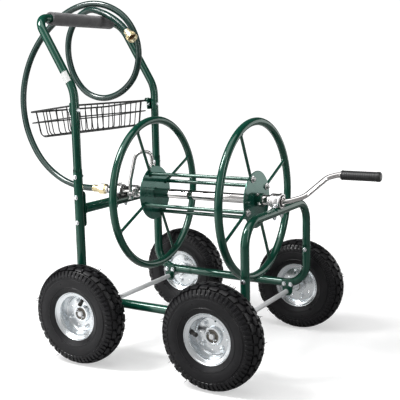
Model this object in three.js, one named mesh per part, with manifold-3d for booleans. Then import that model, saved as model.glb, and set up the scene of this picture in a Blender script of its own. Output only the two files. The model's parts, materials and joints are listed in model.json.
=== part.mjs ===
// Garden hose reel cart: a four-wheeled tube frame, a hand-cranked reel and a short leader hose.
// Millimetres, +Z up, +X towards the crank, +Y across the cart. The origin is on the ground,
// under the middle of the cart.
import * as THREE from 'three';
import { mergeVertices } from 'three/addons/utils/BufferGeometryUtils.js';
import Module from 'manifold-3d';

// ---- driving dimensions ---------------------------------------------------------------------
const GAP = 0.3;                 // clearance between touching pieces
const SNUG = 0.4;                // radial clearance of a fixed fit
const LOOSE = 0.6;               // radial clearance of a running fit

const WHEEL_R = 127;             // ten-inch pneumatic wheel
const WHEELBASE = 382;
const TRACK_HALF = 255.6;        // cart's centre plane to a wheel's centre plane
const TYRE_SIDES = 28;
const AXLE_R = 6.5;
const AXLE_HALF = 260.6;
const RIM_SIDES = 20;
const WELL_R = 47;               // inside of the rim, where its centre disc is fixed
const WHEEL_DISC = [-9.5, -6.5]; // centre disc's faces, outward from the wheel's centre plane

const FRAME_HALF = 183.4;        // cart's centre plane to the frame tubes
const LOWER_R = 12;              // rear lower tube
const RAIL_R = 11.5;             // side rail and front leg
const UPPER_R = 11;              // handle and front hoop
const RAIL_Z = 146;
const REAR_X = -48.2;            // rear uprights
const FRONT_X = 431.3;           // front legs and hoop
const LOWER_SEAM_X = 70;         // rear lower tube meets the side rail
const REAR_SEAM_Z = 485;
const FRONT_SEAM_Z = 260;
const HOOP_Z = 380;
const CROSS_R = 13;
const CROSS_Z = 380;
const PLATE = 4;                 // end plates and axle brackets
const HANDLE_BEND_Z = 686;
const GRIP_X = -160.7;
const GRIP_Z = 872;
const GRIP_HALF = 131.5;
const GRIP_R = 17.6;

const AXIS_Z = 406.2;            // reel axis
const SHAFT_R = 12.5;
const SHAFT_REAR = -62;
const SHAFT_FRONT = 446.5;
const SHAFT_BORE_END = -28;      // water bore, from the rear end
const RING_X = [69.9, 370.3];    // planes of the two reel rings
const RING_R = 196;
const RING_TUBE_R = 10;
const DISC_X = [68.3, 371.9];
const DISC_R = 72.8;
const SHEET = 3;                 // plate thickness of the discs and the basket walls
const SPOKE_R = 4;
const BAR_R = 5;
const BAR_CIRCLE = 60;
const SPOKE_PHASE = 25;          // degrees from +Y towards +Z

const OUTLET_R = 4.8;
const OUTLET_START = [2.5, -24]; // gooseneck's socket beside the shaft, as [x, y]
const OUTLET_BENDS = [           // gooseneck's corners and bend radii
  [[2.5, -24, AXIS_Z + 30], 60], [[18.5, -13, AXIS_Z + 114.5], 26],
  [[50, 9, AXIS_Z + 107], 14],
];
const OUTLET_END = [52, 12, AXIS_Z + 76];

const CRANK_R = 6.75;
const CRANK_START = 416;         // inner end, in the shaft's bore
const CRANK_THROW = 108;
const CRANK_PHASE = 33.7;        // degrees from +Y towards +Z
const CRANK_GRIP = [564, 664];
const CRANK_GRIP_R = 12;

const HOSE_R = 9;
const FERRULE_R = 10;
const INLET_PIPE_R = 8;
const INLET_PIPE = [-112, -30];
const INLET_NUT = [-119, -97];

const BASKET = {
  frontX: -63.2, backX: -217, halfY: 172, rimFrontZ: 650, rimBackZ: 631,
  floorFrontX: -72, floorBackX: -203, floorHalfY: 160, floorFrontZ: 575, floorBackZ: 558,
};

// The cart reaches from the basket's back rim to the end of the crank grip.
const CENTRE_X = (BASKET.backX + CRANK_GRIP[1]) / 2;

// ---- materials ------------------------------------------------------------------------------
const FINISH = {
  green_paint: { color: 0x0c4a35, roughness: 0.28, metalness: 0.1 },
  black_paint: { color: 0x151616, roughness: 0.45, metalness: 0.1 },
  chrome: { color: 0xd8d8da, roughness: 0.12, metalness: 1 },
  zinc: { color: 0xc6c9cc, roughness: 0.35, metalness: 1 },
  brass: { color: 0xc79a45, roughness: 0.3, metalness: 1 },
  tyre_rubber: { color: 0x1b1b1c, roughness: 0.85, metalness: 0 },
  foam: { color: 0x474547, roughness: 0.95, metalness: 0 },
  grip_plastic: { color: 0x232324, roughness: 0.6, metalness: 0 },
  hose_pvc: { color: 0x123f31, roughness: 0.3, metalness: 0 },
};

// ---- geometry helpers -----------------------------------------------------------------------
const wasm = await Module();
wasm.setup();

const rad = THREE.MathUtils.degToRad;

function toSolid(geometry) {
  const bare = geometry.clone();
  bare.deleteAttribute('normal');
  bare.deleteAttribute('uv');
  const merged = mergeVertices(bare, 1e-3);
  const vertProperties = new Float32Array(merged.attributes.position.array);
  const triVerts = new Uint32Array(merged.index.array);
  return new wasm.Manifold(new wasm.Mesh({ numProp: 3, vertProperties, triVerts }));
}

function toGeometry(solid) {
  const { vertProperties, triVerts } = solid.getMesh();
  const geometry = new THREE.BufferGeometry();
  geometry.setAttribute('position', new THREE.BufferAttribute(vertProperties, 3));
  geometry.setIndex(new THREE.BufferAttribute(triVerts, 1));
  geometry.computeVertexNormals();
  return geometry;
}

// One solid from pieces that are joined, less the pieces that are cut away.
function fuse(joined, cut = []) {
  let solid = toSolid(joined[0]);
  for (const piece of joined.slice(1)) solid = solid.add(toSolid(piece));
  for (const piece of cut) solid = solid.subtract(toSolid(piece));
  return toGeometry(solid);
}

function roundSection(radius, sides) {
  const shape = new THREE.Shape();
  for (let i = 0; i < sides; i++) {
    const a = (2 * Math.PI * i) / sides;
    if (i) shape.lineTo(radius * Math.cos(a), radius * Math.sin(a));
    else shape.moveTo(radius, 0);
  }
  shape.closePath();
  return shape;
}

// A path through stations, each with its own tangent, that ExtrudeGeometry steps along one by one.
class StationPath extends THREE.Curve {
  constructor(stations) {
    super();
    this.stations = stations;
  }

  getPointAt(u, target = new THREE.Vector3()) {
    return target.copy(this.stations[Math.round(u * (this.stations.length - 1))].point);
  }

  getTangentAt(u, target = new THREE.Vector3()) {
    return target.copy(this.stations[Math.round(u * (this.stations.length - 1))].tangent);
  }
}

// Stations along straight runs joined by round bends: corners is [[point, bendRadius], ...].
function bentStations(corners, degreesPerStep = 22.5) {
  const at = corners.map(([p]) => new THREE.Vector3(...p));
  const along = at.slice(1).map((p, i) => p.clone().sub(at[i]).normalize());
  const stations = [{ point: at[0], tangent: along[0] }];
  for (let i = 1; i < at.length - 1; i++) {
    const angle = along[i - 1].angleTo(along[i]);
    const radius = corners[i][1];
    const inward = along[i].clone().addScaledVector(along[i - 1], -Math.cos(angle)).normalize();
    const start = at[i].clone().addScaledVector(along[i - 1], -radius * Math.tan(angle / 2));
    const steps = Math.max(1, Math.ceil(THREE.MathUtils.radToDeg(angle) / degreesPerStep));
    for (let k = 0; k <= steps; k++) {
      const a = (angle * k) / steps;
      const point = start.clone()
        .addScaledVector(along[i - 1], radius * Math.sin(a))
        .addScaledVector(inward, radius * (1 - Math.cos(a)));
      const tangent = along[i - 1].clone().multiplyScalar(Math.cos(a))
        .addScaledVector(inward, Math.sin(a));
      stations.push({ point, tangent });
    }
  }
  stations.push({ point: at.at(-1), tangent: along.at(-1) });
  return stations;
}

function sweep(stations, radius, sides) {
  const path = new StationPath(stations);
  return new THREE.ExtrudeGeometry(roundSection(radius, sides),
    { steps: stations.length - 1, extrudePath: path });
}

function bentTube(corners, radius, sides = 12) {
  return sweep(bentStations(corners), radius, sides);
}

// Turned about Y: profile is [[radius, y], ...], on the axis at both ends or closed on itself.
function turnedY(profile, sides, centredFacet = false) {
  const points = profile.map(([r, y]) => new THREE.Vector2(r, y));
  const phase = centredFacet ? Math.PI / sides : 0;
  return new THREE.LatheGeometry(points, sides, phase, 2 * Math.PI);
}

function turnedX(profile, sides) {
  return turnedY(profile, sides).rotateZ(-Math.PI / 2);
}

const rodProfile = (radius, from, to) => [[0, from], [radius, from], [radius, to], [0, to]];

function block(x, y, z) {
  return new THREE.BoxGeometry(x[1] - x[0], y[1] - y[0], z[1] - z[0])
    .translate((x[0] + x[1]) / 2, (y[0] + y[1]) / 2, (z[0] + z[1]) / 2);
}

// A straight round bar between two points.
function bar(from, to, radius, sides = 8) {
  return bentTube([[from], [to]], radius, sides);
}

// A point given by its place along the reel axis, its distance from it and its angle.
function polar(x, radius, degrees) {
  return [x, radius * Math.cos(rad(degrees)), AXIS_Z + radius * Math.sin(rad(degrees))];
}

// ---- the object -----------------------------------------------------------------------------
const cart = new THREE.Group();
cart.position.x = -CENTRE_X;

function add(name, geometry, finish, position = [0, 0, 0]) {
  const mesh = new THREE.Mesh(geometry, new THREE.MeshStandardMaterial(FINISH[finish]));
  mesh.name = name;
  mesh.position.set(...position);
  cart.add(mesh);
  return mesh;
}

// A piece made along X from x = 0, set on the end of a path and turned to run on along it.
function addAtTip(name, geometry, finish, tip) {
  add(name, geometry, finish, tip.point.toArray()).quaternion
    .setFromUnitVectors(new THREE.Vector3(1, 0, 0), tip.tangent.clone().normalize());
}

const SIDES = [['near', -1], ['far', 1]];
const AXLES = [['rear', 0], ['front', WHEELBASE]];

// Two bent lower tubes, two side rails, the front hoop and the handle.
function addFrame() {
  const rearBend = 62;
  const frontBend = 60;
  const hoopBend = 58;
  const rakeBend = 90;
  const gripBend = 40;
  for (const [side, s] of SIDES) {
    const y = s * FRAME_HALF;
    add(`rear_upright_${side}`, bentTube([
      [[REAR_X, y, REAR_SEAM_Z]],
      [[REAR_X, y, RAIL_Z], rearBend],
      [[LOWER_SEAM_X, y, RAIL_Z]],
    ], LOWER_R), 'green_paint');
    add(`side_rail_${side}`, bentTube([
      [[LOWER_SEAM_X + GAP, y, RAIL_Z]],
      [[FRONT_X, y, RAIL_Z], frontBend],
      [[FRONT_X, y, FRONT_SEAM_Z]],
    ], RAIL_R), 'green_paint');
  }
  add('front_hoop', bentTube([
    [[FRONT_X, -FRAME_HALF, FRONT_SEAM_Z + GAP]],
    [[FRONT_X, -FRAME_HALF, HOOP_Z], hoopBend],
    [[FRONT_X, FRAME_HALF, HOOP_Z], hoopBend],
    [[FRONT_X, FRAME_HALF, FRONT_SEAM_Z + GAP]],
  ], UPPER_R), 'green_paint');
  add('handle_tube', bentTube([
    [[REAR_X, -FRAME_HALF, REAR_SEAM_Z + GAP]],
    [[REAR_X, -FRAME_HALF, HANDLE_BEND_Z], rakeBend],
    [[GRIP_X, -FRAME_HALF, GRIP_Z], gripBend],
    [[GRIP_X, FRAME_HALF, GRIP_Z], gripBend],
    [[REAR_X, FRAME_HALF, HANDLE_BEND_Z], rakeBend],
    [[REAR_X, FRAME_HALF, REAR_SEAM_Z + GAP]],
  ], UPPER_R), 'green_paint');
  const bore = UPPER_R + 0.5;
  const chamfer = 2;
  add('handle_grip', turnedY([
    [bore, -GRIP_HALF], [GRIP_R - chamfer, -GRIP_HALF], [GRIP_R, -GRIP_HALF + chamfer],
    [GRIP_R, GRIP_HALF - chamfer], [GRIP_R - chamfer, GRIP_HALF], [bore, GRIP_HALF],
    [bore, -GRIP_HALF],
  ], 20), 'foam', [GRIP_X, 0, GRIP_Z]);
}

// The faces, low then high along Y, of a plate that lies against the inner side of a frame tube.
function plateSpan(s) {
  const outer = FRAME_HALF - LOWER_R - GAP;
  return s > 0 ? [outer - PLATE, outer] : [-outer, PLATE - outer];
}

// The rear cross tube runs between two end plates that are bolted to the uprights.
function addCrossTube() {
  const plateHalfX = 13;
  const plateHalfZ = 46.5;
  for (const [side, s] of SIDES) {
    add(`cross_plate_${side}`, block([REAR_X - plateHalfX, REAR_X + plateHalfX], plateSpan(s),
      [CROSS_Z - plateHalfZ, CROSS_Z + plateHalfZ]), 'green_paint');
  }
  const half = plateSpan(1)[0] - GAP;
  add('rear_cross_tube', turnedY(rodProfile(CROSS_R, -half, half), 12), 'green_paint',
    [REAR_X, 0, CROSS_Z]);
}

// Two axles, each through a pair of brackets that are bolted to the inner sides of the rails.
function addAxles() {
  const bracketHalfX = 17;
  const bracketZ = [WHEEL_R - 14, RAIL_Z + 13];
  for (const [place, x] of AXLES) {
    add(`${place}_axle`, turnedY(rodProfile(AXLE_R, -AXLE_HALF, AXLE_HALF), 12), 'zinc',
      [x, 0, WHEEL_R]);
    for (const [side, s] of SIDES) {
      const span = plateSpan(s);
      const hole = turnedY(rodProfile(AXLE_R + LOOSE, span[0] - 1, span[1] + 1), 12)
        .translate(x, 0, WHEEL_R);
      const plate = block([x - bracketHalfX, x + bracketHalfX], span, bracketZ);
      add(`axle_bracket_${place}_${side}`, fuse([plate], [hole]), 'green_paint');
    }
  }
}

// One wheel: tyre, pressed rim, its centre disc and a bearing hub, turned about the axle. The disc
// lies nearer the cart, so the wheel is dished; s is the side of the cart.
function addWheel(place, side, x, s) {
  const tread = WHEEL_R / Math.cos(Math.PI / TYRE_SIDES);
  const half = [
    [52.6, 8], [56.3, 21.4], [62.9, 23.6], [62.9, 28.4], [73, 33.2], [94, 34.5],
    [114, 30.5], [tread, 17],
  ];
  const tyre = [...half.map(([r, a]) => [r, -a]).reverse(), ...half].reverse();
  const rim = [
    [62.2, -27], [62.2, -24], [55.6, -22], [51.8, -8], [51.8, 8], [55.6, 22], [62.2, 24],
    [62.2, 27], [51, 22.5], [WELL_R, -4], [WELL_R, -11], [51, -22.5],
  ];
  const [discIn, discOut] = WHEEL_DISC;
  const hubR = 16;
  const flangeR = 22.4;
  const recessR = 15.5;
  const bore = AXLE_R + LOOSE;
  const disc = [
    [flangeR + GAP, discIn], [WELL_R - GAP, discIn], [WELL_R - GAP, discOut], [flangeR + GAP, discOut],
  ];
  const hub = [
    [bore, -30], [hubR, -30], [hubR, -12], [flangeR, -11], [flangeR, 1], [recessR, 1],
    [recessR, -2], [bore, -2],
  ];

  const at = [x, s * TRACK_HALF, WHEEL_R];
  const name = `${place}_${side}`;
  const close = (profile) => [...profile, profile[0]];
  add(`tyre_${name}`, turnedY(close(tyre), TYRE_SIDES, true), 'tyre_rubber', at);
  // On the near side a profile is mirrored, so it is walked the other way for faces to point out.
  const outward = (profile) => {
    const placed = profile.map(([r, a]) => [r, s * a]);
    return close(s > 0 ? placed : placed.reverse());
  };
  add(`rim_${name}`, turnedY(outward(rim), RIM_SIDES), 'zinc', at);
  add(`wheel_disc_${name}`, turnedY(outward(disc), RIM_SIDES), 'zinc', at);
  add(`hub_${name}`, turnedY(outward(hub), 16), 'zinc', at);
}

// The reel: two rings, each with a spoked disc, four drum bars and the shaft that carries them.
function addReel() {
  ['rear', 'front'].forEach((place, i) => {
    const circle = [];
    for (let k = 0; k <= 8; k++) {
      const a = (2 * Math.PI * k) / 8;
      circle.push([RING_R + RING_TUBE_R * Math.cos(a), RING_TUBE_R * Math.sin(a)]);
    }
    add(`${place}_ring`, turnedX(circle, 32), 'green_paint', [RING_X[i], 0, AXIS_Z]);
    const disc = turnedX(rodProfile(DISC_R, -SHEET / 2, SHEET / 2), 24)
      .translate(DISC_X[i], 0, AXIS_Z);
    const spokeFrom = DISC_R - 5;
    const spokeTo = RING_R - RING_TUBE_R - 0.8;
    const spokes = [0, 90, 180, 270].map((turn) => bar(
      polar(RING_X[i], spokeFrom, SPOKE_PHASE + turn),
      polar(RING_X[i], spokeTo, SPOKE_PHASE + turn), SPOKE_R));
    const bore = turnedX(rodProfile(SHAFT_R + SNUG, -10, 10), 16).translate(DISC_X[i], 0, AXIS_Z);
    add(`${place}_disc`, fuse([disc, ...spokes], [bore]), 'green_paint');
  });
  const from = DISC_X[0] + SHEET / 2 + GAP;
  const to = DISC_X[1] - SHEET / 2 - GAP;
  for (let k = 0; k < 4; k++) {
    const angle = SPOKE_PHASE + 90 * k;
    add(`drum_bar_${k + 1}`, bar(polar(from, BAR_CIRCLE, angle), polar(to, BAR_CIRCLE, angle), BAR_R),
      'green_paint');
  }
  const inletBore = INLET_PIPE_R + LOOSE;
  const crankBore = CRANK_R + SNUG;
  const crankSocket = CRANK_START - 2;
  add('reel_shaft', turnedX([
    [0, SHAFT_BORE_END], [inletBore, SHAFT_BORE_END], [inletBore, SHAFT_REAR], [SHAFT_R, SHAFT_REAR],
    [SHAFT_R, SHAFT_FRONT], [crankBore, SHAFT_FRONT], [crankBore, crankSocket], [0, crankSocket],
  ], 16), 'chrome', [0, 0, AXIS_Z]);
}

// Water leaves the shaft through a collar with an elbow on its near side, and a gooseneck that
// comes down behind the disc's top edge to a threaded fitting.
function addOutlet() {
  const [x, y] = OUTLET_START;
  const socket = [x, y, AXIS_Z];
  const collar = turnedX(rodProfile(16.5, -10, 10), 16).translate(x, 0, AXIS_Z);
  const arm = bar([x, -6, AXIS_Z - 4], [x, y, AXIS_Z - 10], 8);
  const cup = bar([x, y, AXIS_Z - 19], socket, 8.5, 6);
  const bore = turnedX(rodProfile(SHAFT_R + SNUG, -30, 30), 16).translate(x, 0, AXIS_Z);
  add('outlet_collar', fuse([collar, arm, cup], [bore]), 'chrome');
  const stations = bentStations([[[x, y, AXIS_Z + GAP]], ...OUTLET_BENDS, [OUTLET_END]]);
  add('outlet_pipe', sweep(stations, OUTLET_R, 10), 'chrome');
  addAtTip('outlet_fitting', turnedX([
    [0, GAP], [7.5, GAP], [7.5, 7], [11, 7], [11, 11], [9, 11], [9, 22], [6, 22], [6, 12], [0, 12],
  ], 16), 'chrome', stations.at(-1));
}

// A bearing ring round the shaft with a foot that saddles the tube below it.
function saddle(from, to, ringR, tube, foot) {
  const length = to - from;
  const middle = (from + to) / 2;
  const ring = turnedX(rodProfile(ringR, -length / 2, length / 2), 16)
    .translate(middle, 0, AXIS_Z);
  const pad = block([tube.x - foot.halfX, tube.x + foot.halfX], [-foot.halfY, foot.halfY],
    [tube.z + 6, tube.z + tube.r + 5]);
  const bore = turnedX(rodProfile(SHAFT_R + LOOSE, -length, length), 16)
    .translate(middle, 0, AXIS_Z);
  const seat = turnedY(rodProfile(tube.r + SNUG, -80, 80), 16).translate(tube.x, 0, tube.z);
  return fuse([ring, pad], [bore, seat]);
}

function addBearings() {
  add('rear_bearing', saddle(REAR_X - 10, REAR_X + 10, 17.5,
    { x: REAR_X, z: CROSS_Z, r: CROSS_R }, { halfX: 10, halfY: 27 }), 'black_paint');
  add('front_bearing', saddle(406, 444, 18,
    { x: FRONT_X, z: HOOP_Z, r: UPPER_R }, { halfX: 9, halfY: 25 }), 'chrome');
}

// An S-shaped crank in one plane through the reel axis, with a loose grip on its end.
function addCrank() {
  const grip = polar(0, CRANK_THROW, CRANK_PHASE);
  const end = CRANK_GRIP[1] - 8;
  add('crank_rod', bentTube([
    [polar(CRANK_START, 0, CRANK_PHASE)],
    [polar(458, 0, CRANK_PHASE), 40],
    [polar(494, 20, CRANK_PHASE), 45],
    [polar(530, 96, CRANK_PHASE), 30],
    [polar(554, CRANK_THROW, CRANK_PHASE), 26],
    [polar(end, CRANK_THROW, CRANK_PHASE)],
  ], CRANK_R), 'chrome');
  const bore = CRANK_R + LOOSE;
  add('crank_grip', turnedX([
    [0, end + GAP], [bore, end + GAP], [bore, CRANK_GRIP[0]], [CRANK_GRIP_R - 1.5, CRANK_GRIP[0]],
    [CRANK_GRIP_R, CRANK_GRIP[0] + 2], [CRANK_GRIP_R, CRANK_GRIP[1] - 3],
    [CRANK_GRIP_R - 3, CRANK_GRIP[1]], [0, CRANK_GRIP[1]],
  ], 16), 'grip_plastic', [0, grip[1], grip[2]]);
}

// An open wire basket stands as a thin tray of the same outer shape: its rim falls to the back.
function hexahedron(low, high) {
  const corners = [...low, ...high].flat();
  const faces = [
    0, 2, 1, 0, 3, 2, 4, 5, 6, 4, 6, 7, 0, 1, 5, 0, 5, 4, 1, 2, 6, 1, 6, 5, 2, 3, 7, 2, 7, 6,
    3, 0, 4, 3, 4, 7,
  ];
  const geometry = new THREE.BufferGeometry();
  geometry.setAttribute('position', new THREE.Float32BufferAttribute(corners, 3));
  geometry.setIndex(faces);
  return geometry;
}

function addBasket() {
  const b = BASKET;
  const lineThrough = (x0, z0, x1, z1) => (x) => z0 + ((z1 - z0) * (x - x0)) / (x1 - x0);
  const rim = lineThrough(b.backX, b.rimBackZ, b.frontX, b.rimFrontZ);
  const floor = lineThrough(b.floorBackX, b.floorBackZ, b.floorFrontX, b.floorFrontZ);
  const level = (x0, x1, y, z) => [[x0, -y, z(x0)], [x1, -y, z(x1)], [x1, y, z(x1)], [x0, y, z(x0)]];
  const trayOf = (inset, floorRaise, rimRaise) => hexahedron(
    level(b.floorBackX + inset, b.floorFrontX - inset, b.floorHalfY - inset,
      (x) => floor(x) + floorRaise),
    level(b.backX + inset, b.frontX - inset, b.halfY - inset, (x) => rim(x) + rimRaise));
  add('wire_basket', fuse([trayOf(0, 0, 0)], [trayOf(SHEET, SHEET, 1)]), 'black_paint');
  const clipX = REAR_X - UPPER_R - GAP;
  for (const [side, s] of SIDES) {
    const span = s > 0 ? [163, 188] : [-188, -163];
    add(`basket_clip_${side}`, block([clipX - SHEET, clipX], span, [622, 654]), 'green_paint');
  }
}

// The leader hose rises behind the handle, drops in a loop over the grip and ends in a coupling.
const HOSE_ROUTE = [
  [-141.5, 0, 406.2], [-168, 0, 406.4], [-205, 1, 410], [-262, 4, 427], [-322, 9, 463],
  [-366, 15, 508], [-404, 24, 573], [-424, 36, 645], [-424, 48, 712], [-404, 60, 780],
  [-362, 71, 843], [-308, 80, 889], [-248, 88, 918], [-190, 94, 926], [-136, 98, 914],
  [-88, 101, 884], [-55, 103, 836], [-44, 103, 778], [-60, 101, 718], [-104, 98, 675],
  [-164, 95, 657], [-222, 92, 672], [-264, 89, 718], [-283, 87, 780], [-275, 85, 840],
  [-240, 83, 888], [-193, 80, 908], [-146, 75, 898], [-104, 68, 880], [-68, 58, 859],
  [-42, 47, 840],
];

function addHose() {
  add('inlet_pipe', turnedX(rodProfile(INLET_PIPE_R, ...INLET_PIPE), 12), 'chrome', [0, 0, AXIS_Z]);
  const [nutRear, nutFront] = INLET_NUT;
  const nut = turnedX([
    [0, nutRear], [14, nutRear], [15.4, nutRear + 2], [15.4, nutFront - 2], [14, nutFront],
    [0, nutFront],
  ], 6);
  const nutBore = turnedX(rodProfile(INLET_PIPE_R + LOOSE, nutRear - 1, nutFront + 1), 12);
  add('inlet_nut', fuse([nut], [nutBore]), 'brass', [0, 0, AXIS_Z]);
  const ferruleRear = HOSE_ROUTE[0][0] + GAP;
  const ferruleFront = nutRear - GAP;
  add('inlet_ferrule', turnedX([
    [0, ferruleRear], [FERRULE_R, ferruleRear], [FERRULE_R, ferruleFront - 2.7],
    [12, ferruleFront], [0, ferruleFront],
  ], 16), 'brass', [0, 0, AXIS_Z]);

  const curve = new THREE.CatmullRomCurve3(HOSE_ROUTE.map((p) => new THREE.Vector3(...p)),
    false, 'centripetal');
  const steps = Math.round(curve.getLength() / (5 * HOSE_R));
  const stations = [];
  for (let i = 0; i <= steps; i++) {
    stations.push({ point: curve.getPointAt(i / steps), tangent: curve.getTangentAt(i / steps) });
  }
  stations[0].tangent.set(-1, 0, 0);
  add('leader_hose', sweep(stations, HOSE_R, 10), 'hose_pvc');

  const tip = stations.at(-1);
  const ferruleEnd = 17;
  addAtTip('end_ferrule', turnedX([
    [0, GAP], [FERRULE_R, GAP], [FERRULE_R, ferruleEnd - 2], [12, ferruleEnd], [0, ferruleEnd],
  ], 16), 'brass', tip);
  const couplingStart = ferruleEnd + GAP;
  const couplingEnd = 36;
  const socketFloor = 22;
  addAtTip('end_coupling', turnedX([
    [0, couplingStart], [13.6, couplingStart], [14.6, couplingStart + 1.7], [14.6, couplingEnd - 2],
    [13.8, couplingEnd], [11.6, couplingEnd], [11.6, socketFloor], [0, socketFloor],
  ], 16), 'brass', tip);
}

addFrame();
addCrossTube();
addAxles();
for (const [place, x] of AXLES) {
  for (const [side, s] of SIDES) addWheel(place, side, x, s);
}
addReel();
addOutlet();
addBearings();
addCrank();
addBasket();
addHose();

export default cart;
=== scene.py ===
"""Looks of a garden hose reel cart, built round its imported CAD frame. Metres, +Z up.

Near is the -Y side and far the +Y side; the reel axis runs along X, with the crank at the +X end.
"""

import json
import math
import random

import bmesh
import bpy
from mathutils import Matrix, Vector
from mathutils.geometry import tessellate_polygon


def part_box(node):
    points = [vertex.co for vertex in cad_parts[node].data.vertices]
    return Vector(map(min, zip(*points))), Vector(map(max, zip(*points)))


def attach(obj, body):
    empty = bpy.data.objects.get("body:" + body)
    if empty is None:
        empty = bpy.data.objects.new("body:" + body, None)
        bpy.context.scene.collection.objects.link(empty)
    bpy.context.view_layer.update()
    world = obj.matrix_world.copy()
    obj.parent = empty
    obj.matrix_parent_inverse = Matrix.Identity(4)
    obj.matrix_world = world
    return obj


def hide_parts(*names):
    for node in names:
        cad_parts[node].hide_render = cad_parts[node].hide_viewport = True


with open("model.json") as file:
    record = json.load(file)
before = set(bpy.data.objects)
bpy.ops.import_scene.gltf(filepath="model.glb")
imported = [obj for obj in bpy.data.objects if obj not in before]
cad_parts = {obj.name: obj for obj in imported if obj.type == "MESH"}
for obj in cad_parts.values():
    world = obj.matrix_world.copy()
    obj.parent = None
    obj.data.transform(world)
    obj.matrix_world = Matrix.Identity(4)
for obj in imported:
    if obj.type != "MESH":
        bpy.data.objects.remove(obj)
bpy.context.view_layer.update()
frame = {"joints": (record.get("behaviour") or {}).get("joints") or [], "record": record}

X, Y, Z = Vector((1, 0, 0)), Vector((0, 1, 0)), Vector((0, 0, 1))
SIDES = (("near", -1), ("far", 1))
joints = {j["name"]: j for j in frame["joints"]}


def span(node):
    """The middle of a node's box and half its size."""
    low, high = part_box(node)
    return (low + high) / 2, (high - low) / 2


def middle(node):
    return span(node)[0]


# ---- sizes, with places taken from the frame -------------
LOWER_R = 0.012                  # rear lower tubes
RAIL_R = 0.0115                  # side rails and front legs
UPPER_R = 0.011                  # handle and hoop
REAR_BEND, FRONT_BEND, HOOP_BEND, RAKE_BEND, GRIP_BEND = 0.062, 0.060, 0.058, 0.090, 0.040
HANDLE_BEND_Z = 0.686
FRAME_Y = middle("side_rail_far").y
REAR_X = middle("rear_cross_tube").x
FRONT_X = middle("front_hoop").x
RAIL_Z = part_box("rear_upright_near")[0].z + LOWER_R
REAR_SEAM_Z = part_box("rear_upright_near")[1].z
FRONT_SEAM_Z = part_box("side_rail_near")[1].z
LOWER_SEAM_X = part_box("rear_upright_near")[1].x
HOOP_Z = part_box("front_hoop")[1].z - UPPER_R
CROSS_R = 0.013
CROSS_Z = middle("rear_cross_tube").z
GRIP = middle("handle_grip")
GRIP_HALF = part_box("handle_grip")[1].y
GRIP_R = 0.0176

AXIS_Z = joints["reel_spin"]["pos_m"][2]
ON_AXIS = (0, 0, AXIS_Z)
SHAFT_R = 0.0125
RING_R = 0.196
RING_TUBE_R = 0.010
DISC_R = 0.0728
SHEET = 0.003
SPOKE_R = 0.004
BAR_R = 0.005
BAR_CIRCLE = 0.060
SPOKE_PHASE = 25                 # degrees from +Y towards +Z

AXLE_R = 0.0065
AXLE_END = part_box("rear_axle")[1].y
WHEEL_INNER_Y = 0.2252           # washers' place on the axle, inside the hubs
HOSE_R = 0.009
CRANK_R = 0.00675
CRANK_PHASE = 33.7
CRANK_THROW = 0.108
OUTLET_R = 0.0050
GOOSENECK = [                    # corners: x from the collar, y, rise over the axis, bend radius
    (0, -0.024, 0.030, 0.060), (0.016, -0.013, 0.1145, 0.026), (0.0475, 0.009, 0.107, 0.014),
]

# bolts: across flats, head height, washer radius, stud radius, stud's reach past the nut
BRACKET_BOLT = (0.0085, 0.0040, 0.0062, 0.0026, 0.0020)
WHEEL_BOLT = (0.0100, 0.0045, 0.0078, 0.0030, 0.0030)
REAR_SADDLE_BOLT = (0.0080, 0.0035, 0.0058, 0.0026, 0.0030)
FRONT_SADDLE_BOLT = (0.0080, 0.0035, 0.0056, 0.0026, 0.0030)
FRAME_BOLT = (0.0084, 0.0038, 0.0060, 0.0028, 0.0030)
RAIL_BOLT = (0.0090, 0.0040, 0.0068)
WASHER = 0.0014
PLATE_BOLT_Z = 0.033             # cross plates' bolts, over and under the cross tube


# ---- mesh making -----------------------------------------
class Shape:
    """Vertices and faces gathered before they become one mesh."""

    def __init__(self):
        self.verts = []
        self.faces = []

    def add(self, verts, faces):
        base = len(self.verts)
        self.verts.extend(verts)
        self.faces.extend(tuple(base + i for i in face) for face in faces)

    def grid(self, rows, closed=False, caps=True):
        """Rings of points, each joined to the next; caps close an open grid's two ends."""
        n = len(rows[0])
        faces = []
        for i in range(len(rows) if closed else len(rows) - 1):
            a, b = i * n, ((i + 1) % len(rows)) * n
            faces += [(a + k, a + (k + 1) % n, b + (k + 1) % n, b + k) for k in range(n)]
        if caps and not closed:
            faces += [tuple(range(n))[::-1], tuple(range((len(rows) - 1) * n, len(rows) * n))]
        self.add([p for row in rows for p in row], faces)


def across(axis):
    """The unit axis and two unit vectors square to it."""
    w = Vector(axis).normalized()
    u = (Z if abs(w.z) < 0.9 else X).cross(w).normalized()
    return w, u, w.cross(u)


def around(axis, count, phase=0.0):
    """Unit vectors square to axis, evenly spaced round it."""
    _, u, v = across(axis)
    turns = [phase + math.tau * k / count for k in range(count)]
    return [u * math.cos(t) + v * math.sin(t) for t in turns]


def turned(shape, profile, centre, axis=X, sides=32, closed=False, phase=0.0):
    """Turns profile, [(radius, place along axis), ...], about an axis through centre."""
    w = Vector(axis).normalized()
    centre = Vector(centre)
    ring = around(axis, sides, phase)
    shape.grid([[centre + w * a + out * r for out in ring] for r, a in profile], closed, caps=False)


def soft(profile, radius, closed=False, steps=3):
    """The profile with its corners rounded."""
    points = [Vector(p) for p in profile]
    out = []
    for i, p in enumerate(points):
        if not closed and i in (0, len(points) - 1):
            out.append(p)
            continue
        back, on = points[i - 1] - p, points[(i + 1) % len(points)] - p
        reach = min(radius, back.length * 0.48, on.length * 0.48)
        start, end = p + back.normalized() * reach, p + on.normalized() * reach
        for k in range(steps + 1):
            t = k / steps
            out.append(start.lerp(p, t).lerp(p.lerp(end, t), t))
    return out


def rod(shape, radius, start, end, axis, centre, sides=32, edge=0.0006):
    profile = soft([(0, start), (radius, start), (radius, end), (0, end)], edge)
    turned(shape, profile, centre, axis, sides)


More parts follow.
